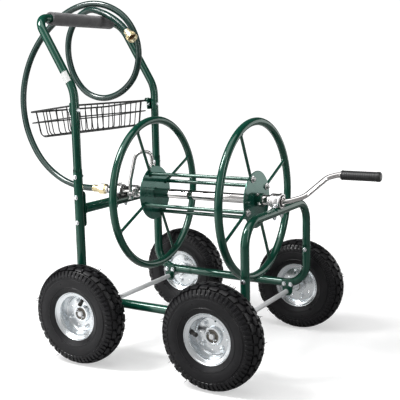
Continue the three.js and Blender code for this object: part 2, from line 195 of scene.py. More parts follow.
def sleeve(shape, inner, outer, start, end, axis, centre, sides=32, edge=0.0006):
    profile = soft([(inner, start), (outer, start), (outer, end), (inner, end)], edge, closed=True)
    turned(shape, profile, centre, axis, sides, closed=True)


def bent(corners, step=5):
    """Points along straight runs and round bends: corners is [(point, bend radius), ...]."""
    at = [Vector(p) for p, _ in corners]
    along = [(b - a).normalized() for a, b in zip(at, at[1:])]
    path = [at[0]]
    for i in range(1, len(at) - 1):
        angle = along[i - 1].angle(along[i])
        radius = corners[i][1]
        inward = (along[i] - along[i - 1] * math.cos(angle)).normalized()
        start = at[i] - along[i - 1] * radius * math.tan(angle / 2)
        steps = max(2, math.ceil(math.degrees(angle) / step))
        for k in range(steps + 1):
            a = angle * k / steps
            path.append(start + along[i - 1] * radius * math.sin(a)
                        + inward * radius * (1 - math.cos(a)))
    path.append(at[-1])
    return path


def swept(shape, path, radius, sides=28, closed=False, caps=True):
    """A round tube along a path; radius is one number, or one for each point."""
    radii = radius if hasattr(radius, "__len__") else [radius] * len(path)
    n = len(path)
    side = None
    rows = []
    for i, p in enumerate(path):
        before = path[i - 1] if closed or i else p
        after = path[(i + 1) % n] if closed or i < n - 1 else p
        t = ((p - before).normalized() + (after - p).normalized()).normalized()
        side = across(t)[1] if side is None else (side - t * side.dot(t)).normalized()
        up = t.cross(side)
        rows.append([p + (side * math.cos(a) + up * math.sin(a)) * radii[i]
                     for a in (math.tau * k / sides for k in range(sides))])
    shape.grid(rows, closed, caps)


def circle(radius, centre=(0, 0), steps=64):
    return [(centre[0] + radius * math.cos(math.tau * k / steps),
             centre[1] + radius * math.sin(math.tau * k / steps)) for k in range(steps)]


def rounded_box(low, high, radius, steps=5):
    """A rectangle's outline with round corners, anticlockwise."""
    out = []
    for k, (x, y) in enumerate([(high[0], high[1]), (low[0], high[1]), (low[0], low[1]),
                                (high[0], low[1])]):
        cx = x - radius if x == high[0] else x + radius
        cy = y - radius if y == high[1] else y + radius
        for i in range(steps + 1):
            a = math.pi / 2 * (k + i / steps)
            out.append((cx + radius * math.cos(a), cy + radius * math.sin(a)))
    return out


def offset(loop, by):
    """An anticlockwise outline moved outward by a small distance."""
    out = []
    for i, (x, y) in enumerate(loop):
        ax, ay = loop[i - 1]
        bx, by_ = loop[(i + 1) % len(loop)]
        dx, dy = bx - ax, by_ - ay
        length = math.hypot(dx, dy)
        out.append((x + by * dy / length, y - by * dx / length))
    return out


def plate(shape, outline, holes, thickness, origin, normal, u, edge=0.0005):
    """A flat plate with holes and chamfered edges, its middle plane through origin."""
    normal, u = Vector(normal).normalized(), Vector(u).normalized()
    v = normal.cross(u)
    origin = Vector(origin)

    def placed(loop, h):
        return [origin + u * a + v * b + normal * h for a, b in loop]

    half = thickness / 2
    for sign in (-1, 1):
        loops = [offset(outline, -edge)] + [offset(hole, edge) for hole in holes]
        solid = [placed(loop, sign * half) for loop in loops]
        flat = [[Vector((a, b, 0)) for a, b in loop] for loop in loops]
        triangles = tessellate_polygon(flat)
        shape.add([p for loop in solid for p in loop],
                  [t if sign > 0 else t[::-1] for t in triangles])
    for loop, out in [(outline, -edge)] + [(hole, edge) for hole in holes]:
        rows = [placed(offset(loop, out), -half), placed(loop, -half + edge),
                placed(loop, half - edge), placed(offset(loop, out), half)]
        shape.grid(rows, caps=False)


def hex_profile(across_flats, height):
    corner = across_flats / math.sqrt(3)
    return [(0, 0), (corner, 0), (corner, height * 0.82), (corner * 0.86, height), (0, height)]


def bolt_head(shape, at, axis, size):
    """A washer and a hex head that stand on a surface."""
    flats, height, washer = size[:3]
    rod(shape, washer, 0, WASHER, axis, at, 24, 0.0003)
    top = Vector(at) + Vector(axis).normalized() * WASHER
    turned(shape, hex_profile(flats, height), top, axis, 6, phase=0.3)


def nut_end(shape, at, axis, size):
    """A washer, a nut and the bolt's threaded end."""
    flats, _, washer, stud, reach = size
    nut = 0.005
    base = 0.0060
    rod(shape, washer, 0, WASHER, axis, at, 24, 0.0003)
    foot = Vector(at) + Vector(axis).normalized() * WASHER
    turned(shape, hex_profile(flats, nut), foot, axis, 6, phase=0.1)
    threaded(shape, stud, base, base + reach, axis, at, 0.0008)


def threaded(shape, radius, start, end, axis, centre, pitch):
    """A rod with ring-shaped thread ridges."""
    count = max(2, round((end - start) / pitch))
    step = (end - start) / count
    root = radius * (1 - 0.12)
    profile = [(0, start)]
    for k in range(count):
        a = start + k * step
        profile += [(root, a), (radius, a + step * 0.35), (radius, a + step * 0.6)]
    profile += [(root, end), (0, end)]
    turned(shape, profile, centre, axis, 24)


def weld(shape, centre, axis, radius, bead=0.0018, sides=48, seed=1):
    """A slightly lumpy ring of weld round a joint."""
    rng = random.Random(seed)
    path = [Vector(centre) + out * radius for out in around(axis, sides)]
    radii = [bead * (1 + 0.16 * math.sin(7 * (math.tau * k / sides)) + rng.uniform(-0.08, 0.08))
             for k in range(sides)]
    swept(shape, path, radii, 10, closed=True)


def mesh_of(name, shape, material, sharp=34):
    mesh = bpy.data.meshes.new(name)
    mesh.from_pydata([tuple(v) for v in shape.verts], [], shape.faces)
    work = bmesh.new()
    work.from_mesh(mesh)
    bmesh.ops.remove_doubles(work, verts=work.verts, dist=1e-6)
    bmesh.ops.dissolve_degenerate(work, edges=work.edges, dist=1e-7)
    bmesh.ops.recalc_face_normals(work, faces=work.faces)
    work.to_mesh(mesh)
    work.free()
    mesh.shade_smooth()
    mesh.set_sharp_from_angle(angle=math.radians(sharp))
    mesh.materials.append(material)
    return mesh


def show(name, mesh, body, nodes=(), placed=None):
    """Puts a mesh in the scene as a piece that rides on a body and stands for CAD nodes."""
    piece = bpy.data.objects.new(name, mesh)
    bpy.context.scene.collection.objects.link(piece)
    if placed is not None:
        piece.matrix_world = placed
    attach(piece, body)
    if nodes:
        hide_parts(*nodes)
    return piece


def make(name, shape, body, slot, nodes=(), finish=None):
    """A mesh and its piece at once; finish is the material, where it isn't the slot's own."""
    return show(name, mesh_of(name, shape, MATERIAL[finish or slot]), body, nodes)


# ---- materials -------------------------------------------
class Nodes:
    """A node tree and short ways to add to it."""

    def __init__(self, tree):
        self.tree = tree

    def node(self, kind, **inputs):
        made = self.tree.nodes.new(kind)
        for name, value in inputs.items():
            made.inputs[name].default_value = value
        return made

    def link(self, source, target):
        self.tree.links.new(source, target)

    def ramp(self, source, stops):
        """Colours or grey levels at places along source."""
        made = self.node("ShaderNodeValToRGB")
        made.color_ramp.elements[0].position = stops[0][0]
        made.color_ramp.elements[1].position = stops[-1][0]
        for place, _ in stops[1:-1]:
            made.color_ramp.elements.new(place)
        for element, (_, colour) in zip(made.color_ramp.elements, stops):
            grey = not hasattr(colour, "__len__")
            element.color = (colour, colour, colour, 1) if grey else (*colour, 1)
        self.link(source, made.inputs["Fac"])
        return made.outputs["Color"]

    def remap(self, source, start, end, low, high):
        """A level that goes from low to high as source goes from start to end."""
        made = self.node("ShaderNodeMapRange")
        for name, value in (("From Min", start), ("From Max", end), ("To Min", low), ("To Max", high)):
            made.inputs[name].default_value = value
        self.link(source, made.inputs["Value"])
        return made.outputs["Result"]

    def vector_math(self, operation, source):
        made = self.node("ShaderNodeVectorMath")
        made.operation = operation
        self.link(source, made.inputs[0])
        return made

    def two_faced(self, lighting, seen, output):
        """One shader lights the scene and another is what the camera sees."""
        path = self.node("ShaderNodeLightPath")
        mixed = self.node("ShaderNodeMixShader")
        self.link(path.outputs["Is Camera Ray"], mixed.inputs["Fac"])
        self.link(lighting, mixed.inputs[1])
        self.link(seen, mixed.inputs[2])
        self.link(mixed.outputs["Shader"], self.tree.nodes[output].inputs["Surface"])


class Surface(Nodes):
    """A Principled material and the few nodes that give it tone, gloss and relief."""

    def __init__(self, name, metallic=0.0, specular=0.5, sheen=0.0, tint=(1, 1, 1)):
        self.material = bpy.data.materials.new(name)
        self.material.use_nodes = True
        super().__init__(self.material.node_tree)
        self.shader = self.tree.nodes["Principled BSDF"]
        self.shader.inputs["Metallic"].default_value = metallic
        self.shader.inputs["Specular IOR Level"].default_value = specular
        self.shader.inputs["Specular Tint"].default_value = (*tint, 1)
        self.shader.inputs["Sheen Weight"].default_value = sheen
        self.place = self.node("ShaderNodeTexCoord").outputs["Object"]
        self.relief = None

    def noise(self, scale, detail=3.0, rough=0.55, stretch=None):
        made = self.node("ShaderNodeTexNoise", Scale=scale, Detail=detail, Roughness=rough)
        if stretch is None:
            self.link(self.place, made.inputs["Vector"])
        else:
            mapping = self.node("ShaderNodeMapping", Scale=stretch)
            self.link(self.place, mapping.inputs["Vector"])
            self.link(mapping.outputs["Vector"], made.inputs["Vector"])
        return made.outputs["Fac"]

    def cells(self, scale):
        made = self.node("ShaderNodeTexVoronoi", Scale=scale)
        self.link(self.place, made.inputs["Vector"])
        return made.outputs["Distance"]

    def mix(self, factor, a, b):
        made = self.node("ShaderNodeMix")
        made.data_type = "RGBA"
        self.link(factor, made.inputs["Factor"])
        sockets = [s for s in made.inputs if s.type == "RGBA"]
        for value, socket in zip((a, b), sockets):
            if hasattr(value, "links"):
                self.link(value, socket)
            else:
                socket.default_value = (*value, 1)
        return [s for s in made.outputs if s.type == "RGBA"][0]

    def colour(self, source):
        self.link(source, self.shader.inputs["Base Color"])

    def gloss(self, source, low, high):
        self.link(self.remap(source, 0.3, 0.7, low, high), self.shader.inputs["Roughness"])

    def bump(self, source, strength, distance):
        made = self.node("ShaderNodeBump", Strength=strength, Distance=distance)
        self.link(source, made.inputs["Height"])
        if self.relief is not None:
            self.link(self.relief, made.inputs["Normal"])
        self.relief = made.outputs["Normal"]
        self.link(self.relief, self.shader.inputs["Normal"])


def painted(name, deep, light, rough, specular, tint=(1, 1, 1)):
    """Powder coat: tone drifts a little, with orange peel and a few dull scuffs."""
    s = Surface(name, specular=specular, tint=tint)
    tone = s.ramp(s.noise(9, 4), [(0.30, deep), (0.70, light)])
    scuff = s.ramp(s.noise(60, 6, 0.7, (1, 1, 0.25)), [(0.70, 0.0), (0.80, 0.12)])
    worn = tuple(min(1, c * 1.6 + 0.02) for c in light)
    s.colour(s.mix(scuff, tone, worn))
    s.gloss(s.noise(35, 4), rough * 0.8, rough * 1.25)
    s.bump(s.noise(420, 2), 0.05, 0.0003)
    return s.material


def plated(name, deep, light, low, high, streak=(1, 1, 1), dull=None, metallic=1.0):
    """Plated or polished metal with cloudy tone, faint draw lines and small dull spots."""
    s = Surface(name, metallic=metallic)
    tone = s.ramp(s.noise(14, 4, 0.55), [(0.32, deep), (0.66, light)])
    if dull:
        spots = s.ramp(s.noise(70, 5, 0.65), [(0.60, 0.0), (0.74, 0.18)])
        tone = s.mix(spots, tone, dull)
    s.colour(tone)
    s.gloss(s.noise(90, 3, 0.6, streak), low, high)
    s.bump(s.noise(420, 2, 0.5, streak), 0.002, 0.0001)
    return s.material


def rubber():
    """Tyre rubber: nearly black, with dust, moulding grain and gentle waves."""
    s = Surface("tyre_rubber", specular=0.24)
    tone = s.ramp(s.noise(22, 5, 0.6),
                  [(0.30, (0.007, 0.007, 0.008)), (0.72, (0.014, 0.0135, 0.015))])
    dust = s.ramp(s.noise(70, 6, 0.7), [(0.54, 0.0), (0.76, 0.25)])
    s.colour(s.mix(dust, tone, (0.030, 0.028, 0.028)))
    s.gloss(s.noise(55, 4), 0.26, 0.42)
    s.bump(s.noise(900, 2), 0.22, 0.0004)
    s.bump(s.noise(130, 3), 0.12, 0.0008)
    return s.material


def foam():
    s = Surface("foam", sheen=0.25)
    tone = s.ramp(s.noise(40, 4), [(0.3, (0.080, 0.078, 0.081)), (0.7, (0.125, 0.121, 0.125))])
    pores = s.ramp(s.cells(1500), [(0.05, 0.55), (0.5, 1.0)])
    s.colour(s.mix(pores, (0.022, 0.021, 0.022), tone))
    s.gloss(s.noise(300, 3), 0.75, 0.95)
    s.bump(s.cells(1300), 0.55, 0.0005)
    s.bump(s.noise(160, 4), 0.30, 0.0010)
    return s.material


def moulded():
    """Black moulded plastic with a fine spark texture."""
    s = Surface("grip_plastic")
    s.colour(s.ramp(s.noise(60, 4), [(0.3, (0.012, 0.012, 0.013)), (0.7, (0.022, 0.022, 0.023))]))
    s.gloss(s.noise(180, 3), 0.30, 0.46)
    s.bump(s.noise(1100, 2), 0.25, 0.0003)
    return s.material


def hose_skin():
    """Glossy vinyl: a smooth skin over faint lengthwise mottling."""
    s = Surface("hose_pvc", specular=0.5)
    s.colour(s.ramp(s.noise(18, 5), [(0.30, (0.008, 0.026, 0.021)), (0.70, (0.014, 0.040, 0.033))]))
    s.gloss(s.noise(45, 4), 0.11, 0.19)
    s.bump(s.noise(240, 2), 0.02, 0.0003)
    return s.material


def label():
    """A blank vinyl sticker."""
    s = Surface("sticker_vinyl")
    s.colour(s.ramp(s.noise(30, 3), [(0.3, (0.56, 0.57, 0.56)), (0.7, (0.66, 0.67, 0.66))]))
    s.gloss(s.noise(50, 3), 0.32, 0.45)
    s.bump(s.noise(300, 2), 0.05, 0.0002)
    return s.material


def shade(name, deep, light):
    """Dull surfaces inside bores and seals."""
    s = Surface(name)
    s.colour(s.ramp(s.noise(90, 4), [(0.3, deep), (0.7, light)]))
    s.gloss(s.noise(120, 3), 0.6, 0.85)
    s.bump(s.noise(500, 2), 0.2, 0.0003)
    return s.material


MATERIAL = {
    "green_paint": painted("green_paint", (0.003, 0.042, 0.026), (0.005, 0.057, 0.036), 0.11, 0.68,
                           (0.8, 1, 0.92)),
    # The discs' copy of the green paint has a lighter, more teal base: painted sheen for the light the
    # discs reflect.
    "disc_paint_painted_sheen": painted("disc_paint_painted_sheen", (0.005, 0.050, 0.034), (0.008, 0.066, 0.046), 0.13, 0.95,
                          (0.5, 1, 0.85)),
    "black_paint": painted("black_paint", (0.008, 0.009, 0.009), (0.013, 0.015, 0.015), 0.36, 0.4),
    "chrome": plated("chrome", (0.66, 0.64, 0.63), (0.80, 0.78, 0.77), 0.03, 0.07, (0.15, 1, 1)),
    "cast_chrome": plated("cast_chrome", (0.74, 0.73, 0.73), (0.84, 0.83, 0.83), 0.20, 0.28),
    "zinc": plated("zinc", (0.78, 0.81, 0.83), (0.82, 0.85, 0.87), 0.21, 0.25,
                   dull=(0.72, 0.75, 0.77)),
    "axle_steel": plated("axle_steel", (0.72, 0.73, 0.74), (0.84, 0.85, 0.86), 0.38, 0.50,
                         (1, 0.2, 1), metallic=0.35),
    "brass": plated("brass", (0.76, 0.64, 0.38), (0.92, 0.84, 0.60), 0.30, 0.42,
                    dull=(0.60, 0.47, 0.26)),
    "tyre_rubber": rubber(),
    "foam": foam(),
    "grip_plastic": moulded(),
    "hose_pvc": hose_skin(),
    "sticker": label(),
    "seal": shade("seal_rubber", (0.010, 0.010, 0.010), (0.024, 0.022, 0.020)),
    # A darkened brass brown: painted shade of the coupling's brass bore, put on its washer.
    "bore_painted_shade": shade("bore_painted_shade", (0.22, 0.10, 0.035), (0.34, 0.17, 0.07)),
    "greased": shade("greased_steel", (0.10, 0.09, 0.075), (0.24, 0.22, 0.19)),
}


# ---- camera ----------------------------------------------
def add_camera():
    azimuth, elevation, roll = (math.radians(a) for a in (30.34, 9.24, -1.16))
    level = math.cos(elevation)
    back = Vector((math.sin(azimuth) * level, -math.cos(azimuth) * level, math.sin(elevation)))
    right = Z.cross(back).normalized()
    up = back.cross(right)
    rolled = (right * math.cos(roll) + up * math.sin(roll),
              up * math.cos(roll) - right * math.sin(roll), back)
    data = bpy.data.cameras.new("camera")
    data.lens = 70.05
    data.sensor_width = 36
    data.clip_start = 0.05
    camera = bpy.data.objects.new("camera", data)
    turn = Matrix(rolled).transposed().to_4x4()
    camera.matrix_world = Matrix.Translation((1.00343, -1.74201, 0.72249)) @ turn
    bpy.context.scene.collection.objects.link(camera)
    bpy.context.scene.camera = camera


# ---- the leader hose and its fittings --------------------
HOSE_ROUTE = [
    (-0.3650, 0.000, 0.4062), (-0.3915, 0.000, 0.4064), (-0.4285, 0.001, 0.410),
    (-0.4855, 0.004, 0.427), (-0.5455, 0.009, 0.463), (-0.5895, 0.015, 0.508),
    (-0.6275, 0.024, 0.573), (-0.6475, 0.036, 0.645), (-0.6475, 0.048, 0.712),
    (-0.6275, 0.060, 0.780), (-0.5855, 0.071, 0.843), (-0.5315, 0.080, 0.889),
    (-0.4715, 0.088, 0.918), (-0.4135, 0.094, 0.926), (-0.3595, 0.098, 0.914),
    (-0.3115, 0.101, 0.884), (-0.2785, 0.103, 0.836), (-0.2675, 0.103, 0.778),
    (-0.2835, 0.101, 0.718), (-0.3275, 0.098, 0.675), (-0.3875, 0.095, 0.657),
    (-0.4455, 0.092, 0.672), (-0.4875, 0.089, 0.718), (-0.5065, 0.087, 0.780),
    (-0.4985, 0.085, 0.840), (-0.4635, 0.083, 0.888), (-0.4165, 0.080, 0.908),
    (-0.3695, 0.075, 0.898), (-0.3275, 0.068, 0.880), (-0.2915, 0.058, 0.859),
    (-0.2655, 0.047, 0.840),
]


def smooth_route(points, per_span=14):
    """A centripetal Catmull-Rom curve through the points."""
    p = [Vector(q) for q in points]
    p = [p[0] * 2 - p[1]] + p + [p[-1] * 2 - p[-2]]
    out = []
    for i in range(1, len(p) - 2):
        a, b, c, d = p[i - 1:i + 3]
        t0, t1, t2 = ((b - a).length ** 0.5, (c - b).length ** 0.5, (d - c).length ** 0.5)
        m1 = ((b - a) / t0 - (c - a) / (t0 + t1) + (c - b) / t1) * t1
        m2 = ((c - b) / t1 - (d - b) / (t1 + t2) + (d - c) / t2) * t1
        for k in range(per_span):
            t = k / per_span
            out.append(b + m1 * t + (b * -3 + c * 3 - m1 * 2 - m2) * t ** 2
                       + (b * 2 - c * 2 + m1 + m2) * t ** 3)
    out.append(p[-2])
    return out


def add_hose():
    """The leader hose and its fittings, as one cord."""
    path = smooth_route(HOSE_ROUTE)
    shape = Shape()
    swept(shape, path, HOSE_R, 24)
    hose = make("leader_hose_skin", shape, "cart_frame", "hose_pvc", ["leader_hose"])
    inlet_fittings() + end_fittings(path[-1])


def inlet_fittings():
    """The hose's crimped ferrule and the swivel nut that joins it to the inlet pipe."""
    start = Vector(HOSE_ROUTE[0])
    low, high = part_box("inlet_nut")
    ferrule = Shape()
    crimped_ferrule(ferrule, start, X, low.x - start.x - 0.0003)
    nut = Shape()
    corner, bore = 0.0154, 0.0086
    turned(nut, [(bore, low.x), (corner * 0.88, low.x), (corner, low.x + 0.0016),
                 (corner, high.x - 0.0016), (corner * 0.88, high.x), (bore, high.x)],
           ON_AXIS, X, 6, closed=True)
    sleeve(nut, bore, 0.0118, high.x - 0.0004, high.x + 0.0035, X, ON_AXIS, 32)
    return [make("inlet_ferrule_brass", ferrule, "cart_frame", "brass", ["inlet_ferrule"]),
            make("inlet_nut_brass", nut, "inlet_coupling", "brass", ["inlet_nut"])]


def end_fittings(tip):
    """The far end's crimped ferrule, its ribbed coupling and the washer inside."""
    along = Vector(joints["hose_coupling_turn"]["axis"])
    ferrule = Shape()
    crimped_ferrule(ferrule, tip, along, 0.0170)
    outer = soft([(0.0086, 0.0173), (0.0125, 0.0173), (0.0146, 0.0200), (0.0146, 0.0226),
                  (0.0138, 0.0236), (0.0138, 0.0322), (0.0146, 0.0332), (0.0146, 0.0352),
                  (0.0137, 0.0360), (0.0118, 0.0360), (0.0110, 0.0350)], 0.0004)
    bore = []
    for k in range(5):
        a = 0.0345 - k * 0.0022
        bore += [(0.0122, a), (0.0112, a - 0.0011)]
    bore += [(0.0112, 0.0225), (0.0050, 0.0222), (0.0050, 0.0180)]
    coupling = Shape()
    turned(coupling, outer + [Vector(q) for q in bore], tip, along, 48, closed=True)
    w = along.normalized()
    for outward in around(along, 20):
        foot = tip + outward * 0.0138
        swept(coupling, [foot + w * 0.0238, foot + w * 0.0320], 0.0007, 8)
    washer = Shape()
    sleeve(washer, 0.0058, 0.0109, 0.0227, 0.0252, along, tip, 32, 0.0005)
    return [make("end_ferrule_brass", ferrule, "cart_frame", "brass", ["end_ferrule"]),
            make("end_coupling_brass", coupling, "hose_coupling", "brass", ["end_coupling"]),
            # The washer carries the painted shade of the brass bore.
            make("end_coupling_washer", washer, "hose_coupling", "grip_plastic",
                 finish="bore_painted_shade")]


def crimped_ferrule(shape, start, axis, length):
    """A brass sleeve with crimp grooves and a collar on its outer end."""
    bore = 0.0078
    profile = [(bore, 0.0003), (0.0100, 0.0003)]
    grooves = 4
    step = (length - 0.0055) / grooves
    for k in range(grooves):
        a = 0.0012 + k * step
        profile += [(0.0101, a), (0.0101, a + step * 0.45), (0.0094, a + step * 0.62),
                    (0.0094, a + step * 0.85)]
    profile += [(0.0101, length - 0.0040), (0.0120, length - 0.0022), (0.0120, length),
                (bore, length)]
    turned(shape, soft(profile, 0.0003, closed=True, steps=2), start, axis, 40, closed=True)


# ---- frame -----------------------------------------------
def frame_tube(name, node, corners, radius, mouths=()):
    """A bent tube; mouths are the open ends that others plug into: (place, axis, bore)."""
    tube = Shape()
    swept(tube, bent(corners), radius, caps=not mouths)
    for at, axis, bore in mouths:
        tube_mouth(tube, at, axis, radius, bore)
    make(name, tube, "cart_frame", "green_paint", [node])


def add_frame():
    plugged = 0.020
    rail_r, hoop_r = RAIL_R - 0.00015, UPPER_R - 0.0004
    for side, s in SIDES:
        y = s * FRAME_Y
        top, back = (REAR_X, y, REAR_SEAM_Z), (LOWER_SEAM_X, y, RAIL_Z)
        frame_tube(f"rear_upright_{side}_tube", f"rear_upright_{side}",
                   [(top, 0), ((REAR_X, y, RAIL_Z), REAR_BEND), (back, 0)], LOWER_R,
                   [(top, Z, UPPER_R), (back, X, RAIL_R)])
        front = (FRONT_X, y, FRONT_SEAM_Z)
        frame_tube(f"side_rail_{side}_tube", f"side_rail_{side}",
                   [((LOWER_SEAM_X - plugged, y, RAIL_Z), 0), ((FRONT_X, y, RAIL_Z), FRONT_BEND),
                    (front, 0)], rail_r, [(front, Z, hoop_r)])
    y = FRAME_Y
    low = FRONT_SEAM_Z - plugged
    frame_tube("front_hoop_tube", "front_hoop",
               [((FRONT_X, -y, low), 0), ((FRONT_X, -y, HOOP_Z), HOOP_BEND),
                ((FRONT_X, y, HOOP_Z), HOOP_BEND), ((FRONT_X, y, low), 0)], hoop_r)
    low = REAR_SEAM_Z - plugged
    frame_tube("handle_tube_bent", "handle_tube",
               [((REAR_X, -y, low), 0), ((REAR_X, -y, HANDLE_BEND_Z), RAKE_BEND),
                ((GRIP.x, -y, GRIP.z), GRIP_BEND), ((GRIP.x, y, GRIP.z), GRIP_BEND),
                ((REAR_X, y, HANDLE_BEND_Z), RAKE_BEND), ((REAR_X, y, low), 0)], UPPER_R)


def add_grip():
    """The foam sleeve on the handle."""
    grip = Shape()
    sleeve_profile = [(UPPER_R + 0.0003, -GRIP_HALF), (GRIP_R, -GRIP_HALF), (GRIP_R, GRIP_HALF),
                      (UPPER_R + 0.0003, GRIP_HALF)]
    turned(grip, soft(sleeve_profile, 0.0028, closed=True, steps=5), GRIP, Y, 40, closed=True)
    make("handle_grip_foam", grip, "cart_frame", "foam", ["handle_grip"])


def tube_mouth(shape, at, axis, outer, inner):
    """The rounded open end of a tube that another one plugs into."""
    back = -0.006
    profile = [(outer, back), (outer, -0.0008), (outer - 0.0004, 0), (inner + 0.0001, 0),
               (inner + 0.0001, back)]
    turned(shape, profile, at, axis, 28)


def add_sticker():
    """A blank band wrapped round the front of the near handle leg."""
    foot, top = Vector((REAR_X, -FRAME_Y, HANDLE_BEND_Z)), Vector((GRIP.x, -FRAME_Y, GRIP.z))
    w = (top - foot).normalized()
    side = Y.cross(w)
    start, end = foot + w * 0.024, foot + w * 0.053
    turns = [math.radians(a) for a in range(-68, 65, 6)]
    under, over, trim = UPPER_R + 0.0002, UPPER_R + 0.00045, 0.0002
    band = Shape()
    for at, radius in ((start, under), (end, under), (end - w * trim, over), (start + w * trim, over)):
        band.verts += [at + (side * math.sin(t) - Y * math.cos(t)) * radius for t in turns]
    n = len(turns)
    for i in range(4):
        a, b = i * n, (i + 1) % 4 * n
        band.faces += [(a + k, a + k + 1, b + k + 1, b + k) for k in range(n - 1)]
    band.faces += [(0, n, 2 * n, 3 * n), (4 * n - 1, 3 * n - 1, 2 * n - 1, n - 1)]
    make("handle_sticker_blank", band, "cart_frame", "green_paint", finish="sticker")


def add_cross_tube():
    """The tube across the back and the plates that bolt it to the uprights."""
    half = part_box("cross_plate_far")[0].y - 0.0002
    tube = Shape()
    swept(tube, [Vector((REAR_X, y, CROSS_Z)) for y in (-half, half)], CROSS_R, 36)
    for s in (-1, 1):
        weld(tube, (REAR_X, s * (half - 0.0009), CROSS_Z), Y, CROSS_R + 0.0004, seed=3 + s)
    make("rear_cross_tube_round", tube, "cart_frame", "green_paint", ["rear_cross_tube"])
    for side, _ in SIDES:
        mid, reach = span(f"cross_plate_{side}")
        half_x = reach.x - 0.0030
        holes = [circle(0.0034, (0, z), 24) for z in (-PLATE_BOLT_Z, PLATE_BOLT_Z)]
        shape = Shape()
        plate(shape, rounded_box((-half_x, -reach.z), (half_x, reach.z), 0.008), holes,
              reach.y * 2, mid, -Y, X)
        make(f"cross_plate_{side}_steel", shape, "cart_frame", "green_paint",
             [f"cross_plate_{side}"])


def add_axles():
    for place in ("rear", "front"):
        centre = middle(f"{place}_axle")
        axle = Shape()
        rod(axle, AXLE_R, -AXLE_END, AXLE_END, Y, centre, 28, 0.0012)
        make(f"{place}_axle_rod", axle, "cart_frame", "zinc", [f"{place}_axle"], "axle_steel")
        add_axle_ends(place, centre)
        for side, s in SIDES:
            add_axle_bracket(f"axle_bracket_{place}_{side}", centre, s)


def add_axle_ends(place, centre):
    """The cotter pin outside each wheel and the washer inside it."""
    small = Shape()
    for s in (-1, 1):
        out = Y * s
        cotter_pin(small, centre + out * AXLE_END - out * 0.0018, Vector((0.66, 0, -0.75)))
        sleeve(small, AXLE_R + 0.0002, 0.0125, -0.0022, -0.0004, out, centre + out * WHEEL_INNER_Y,
               32, 0.0004)
    make(f"{place}_axle_washers_and_pins", small, "cart_frame", "zinc")


def add_axle_bracket(node, centre, s):
    """A plate under the rail with a bush for the axle, and its two bolts."""
    mid, half = span(node)
    drop = centre.z - mid.z
    bore = AXLE_R + 0.0003
    shape = Shape()
    plate(shape, bracket_outline(half.x, half.z, drop), [circle(bore, (0, drop), 32)], half.y * 2,
          mid, -Y, X)
    sleeve(shape, bore, 0.0105, 0.0020, 0.0105, Y * -s, Vector((centre.x, mid.y, centre.z)), 32)
    make(f"{node}_steel", shape, "cart_frame", "green_paint", [node])
    bolts = Shape()
    inner_y, outer_y = mid.y - s * half.y, s * (FRAME_Y + LOWER_R - 0.0012)
    for x in (centre.x - 0.010, centre.x + 0.010):
        bolt_head(bolts, (x, inner_y, RAIL_Z), Y * -s, BRACKET_BOLT)
        nut_end(bolts, (x, outer_y, RAIL_Z), Y * s, BRACKET_BOLT)
    make(f"{node}_bolts", bolts, "cart_frame", "zinc")


def bracket_outline(half_x, half_z, drop):
    """Square at the top, round about the axle at the bottom."""
    radius = drop + half_z
    steps = 24
    points = []
    for k in range(steps + 1):
        a = math.pi + math.pi * k / steps
        points.append((min(half_x, radius) * math.cos(a), drop + radius * math.sin(a)))
    corners = rounded_box((-half_x, 0), (half_x, half_z), 0.004)
    return points + corners[:len(corners) // 2]


def cotter_pin(shape, at, along):
    """A split pin through the axle: a loop on one end and two legs bent apart on the other."""
    along = along.normalized()
    out = Y if at.y > 0 else -Y
    side = along.cross(out).normalized()
    reach = AXLE_R + 0.0012
    loop = [at - along * (reach + 0.0035 - 0.0032 * math.cos(t)) + side * 0.0028 * math.sin(t)
            for t in (math.tau * k / 16 for k in range(16))]
    swept(shape, loop, 0.0008, 10, closed=True)
    for lean in (-1, 1):
        leg = [at + along * a + side * lean * b for a, b in (
            (-reach, 0.0007), (reach, 0.0008), (reach + 0.0030, 0.0022), (reach + 0.0048, 0.0052))]
        swept(shape, leg, 0.00085, 10)


# ---- wheels, made about their own centre with the outer face towards -Y ----
PITCHES = 30                     # tread blocks round the tyre
TREAD = 0.0055                   # how deep the tread is
GROOVE, SECOND_GROOVE = (0.0, 0.26), (0.5, 0.76)    # a pitch's two grooves, as shares of it
ZIGZAG = 0.0024                  # how far the blocks' edges swing aside at the crown
SLANT = 0.22                     # how far the grooves lean on the shoulder, as a share of a pitch
PITCH_STEPS = [0.0, 0.035, 0.13, 0.225, 0.26, 0.38, 0.50, 0.535, 0.63, 0.725, 0.76, 0.88]
SECTION_CUTS = [                 # distances along the section from the crown, where it is cut
    0.0, 0.0012, 0.0018, 0.0050, 0.0085, 0.0120, 0.0130, 0.0154, 0.0164, 0.0200, 0.0235, 0.0270,
    0.0280, 0.0300, 0.0310, 0.0340, 0.0385, 0.0430, 0.0475, 0.0485, 0.0525, 0.0535, 0.0600, 0.0640,
    0.0690, 0.0734, 0.0740, 0.0756, 0.0762, 0.0790,
]
OUTER_FACE = [                   # half the tyre's section from the crown to the bead: radius, side
    (0.1270, 0.0), (0.1268, 0.006), (0.1260, 0.012), (0.1244, 0.018), (0.1216, 0.0235),
    (0.1176, 0.0280), (0.1126, 0.0312), (0.1070, 0.0330), (0.1000, 0.0341), (0.0930, 0.0345),
    (0.0850, 0.0342), (0.0780, 0.0330), (0.0720, 0.0312), (0.0675, 0.0296), (0.0645, 0.0286),
    (0.0628, 0.0272),
]


def section_at(lengths, along):
    """The point and the outward normal at a distance along the outer face."""
    for i in range(len(lengths) - 1):
        if along <= lengths[i + 1] or i == len(lengths) - 2:
            a, b = Vector(OUTER_FACE[i]), Vector(OUTER_FACE[i + 1])
            share = (along - lengths[i]) / (lengths[i + 1] - lengths[i])
            before = Vector(OUTER_FACE[max(i - 1, 0)])
            after = Vector(OUTER_FACE[min(i + 2, len(OUTER_FACE) - 1)])
            run = (b - before).normalized().lerp((after - a).normalized(), share)
            return a.lerp(b, share), Vector((run.y, -run.x)).normalized()
    raise ValueError("no section there")


def in_groove(f, groove):
    return groove[0] < f < groove[1]


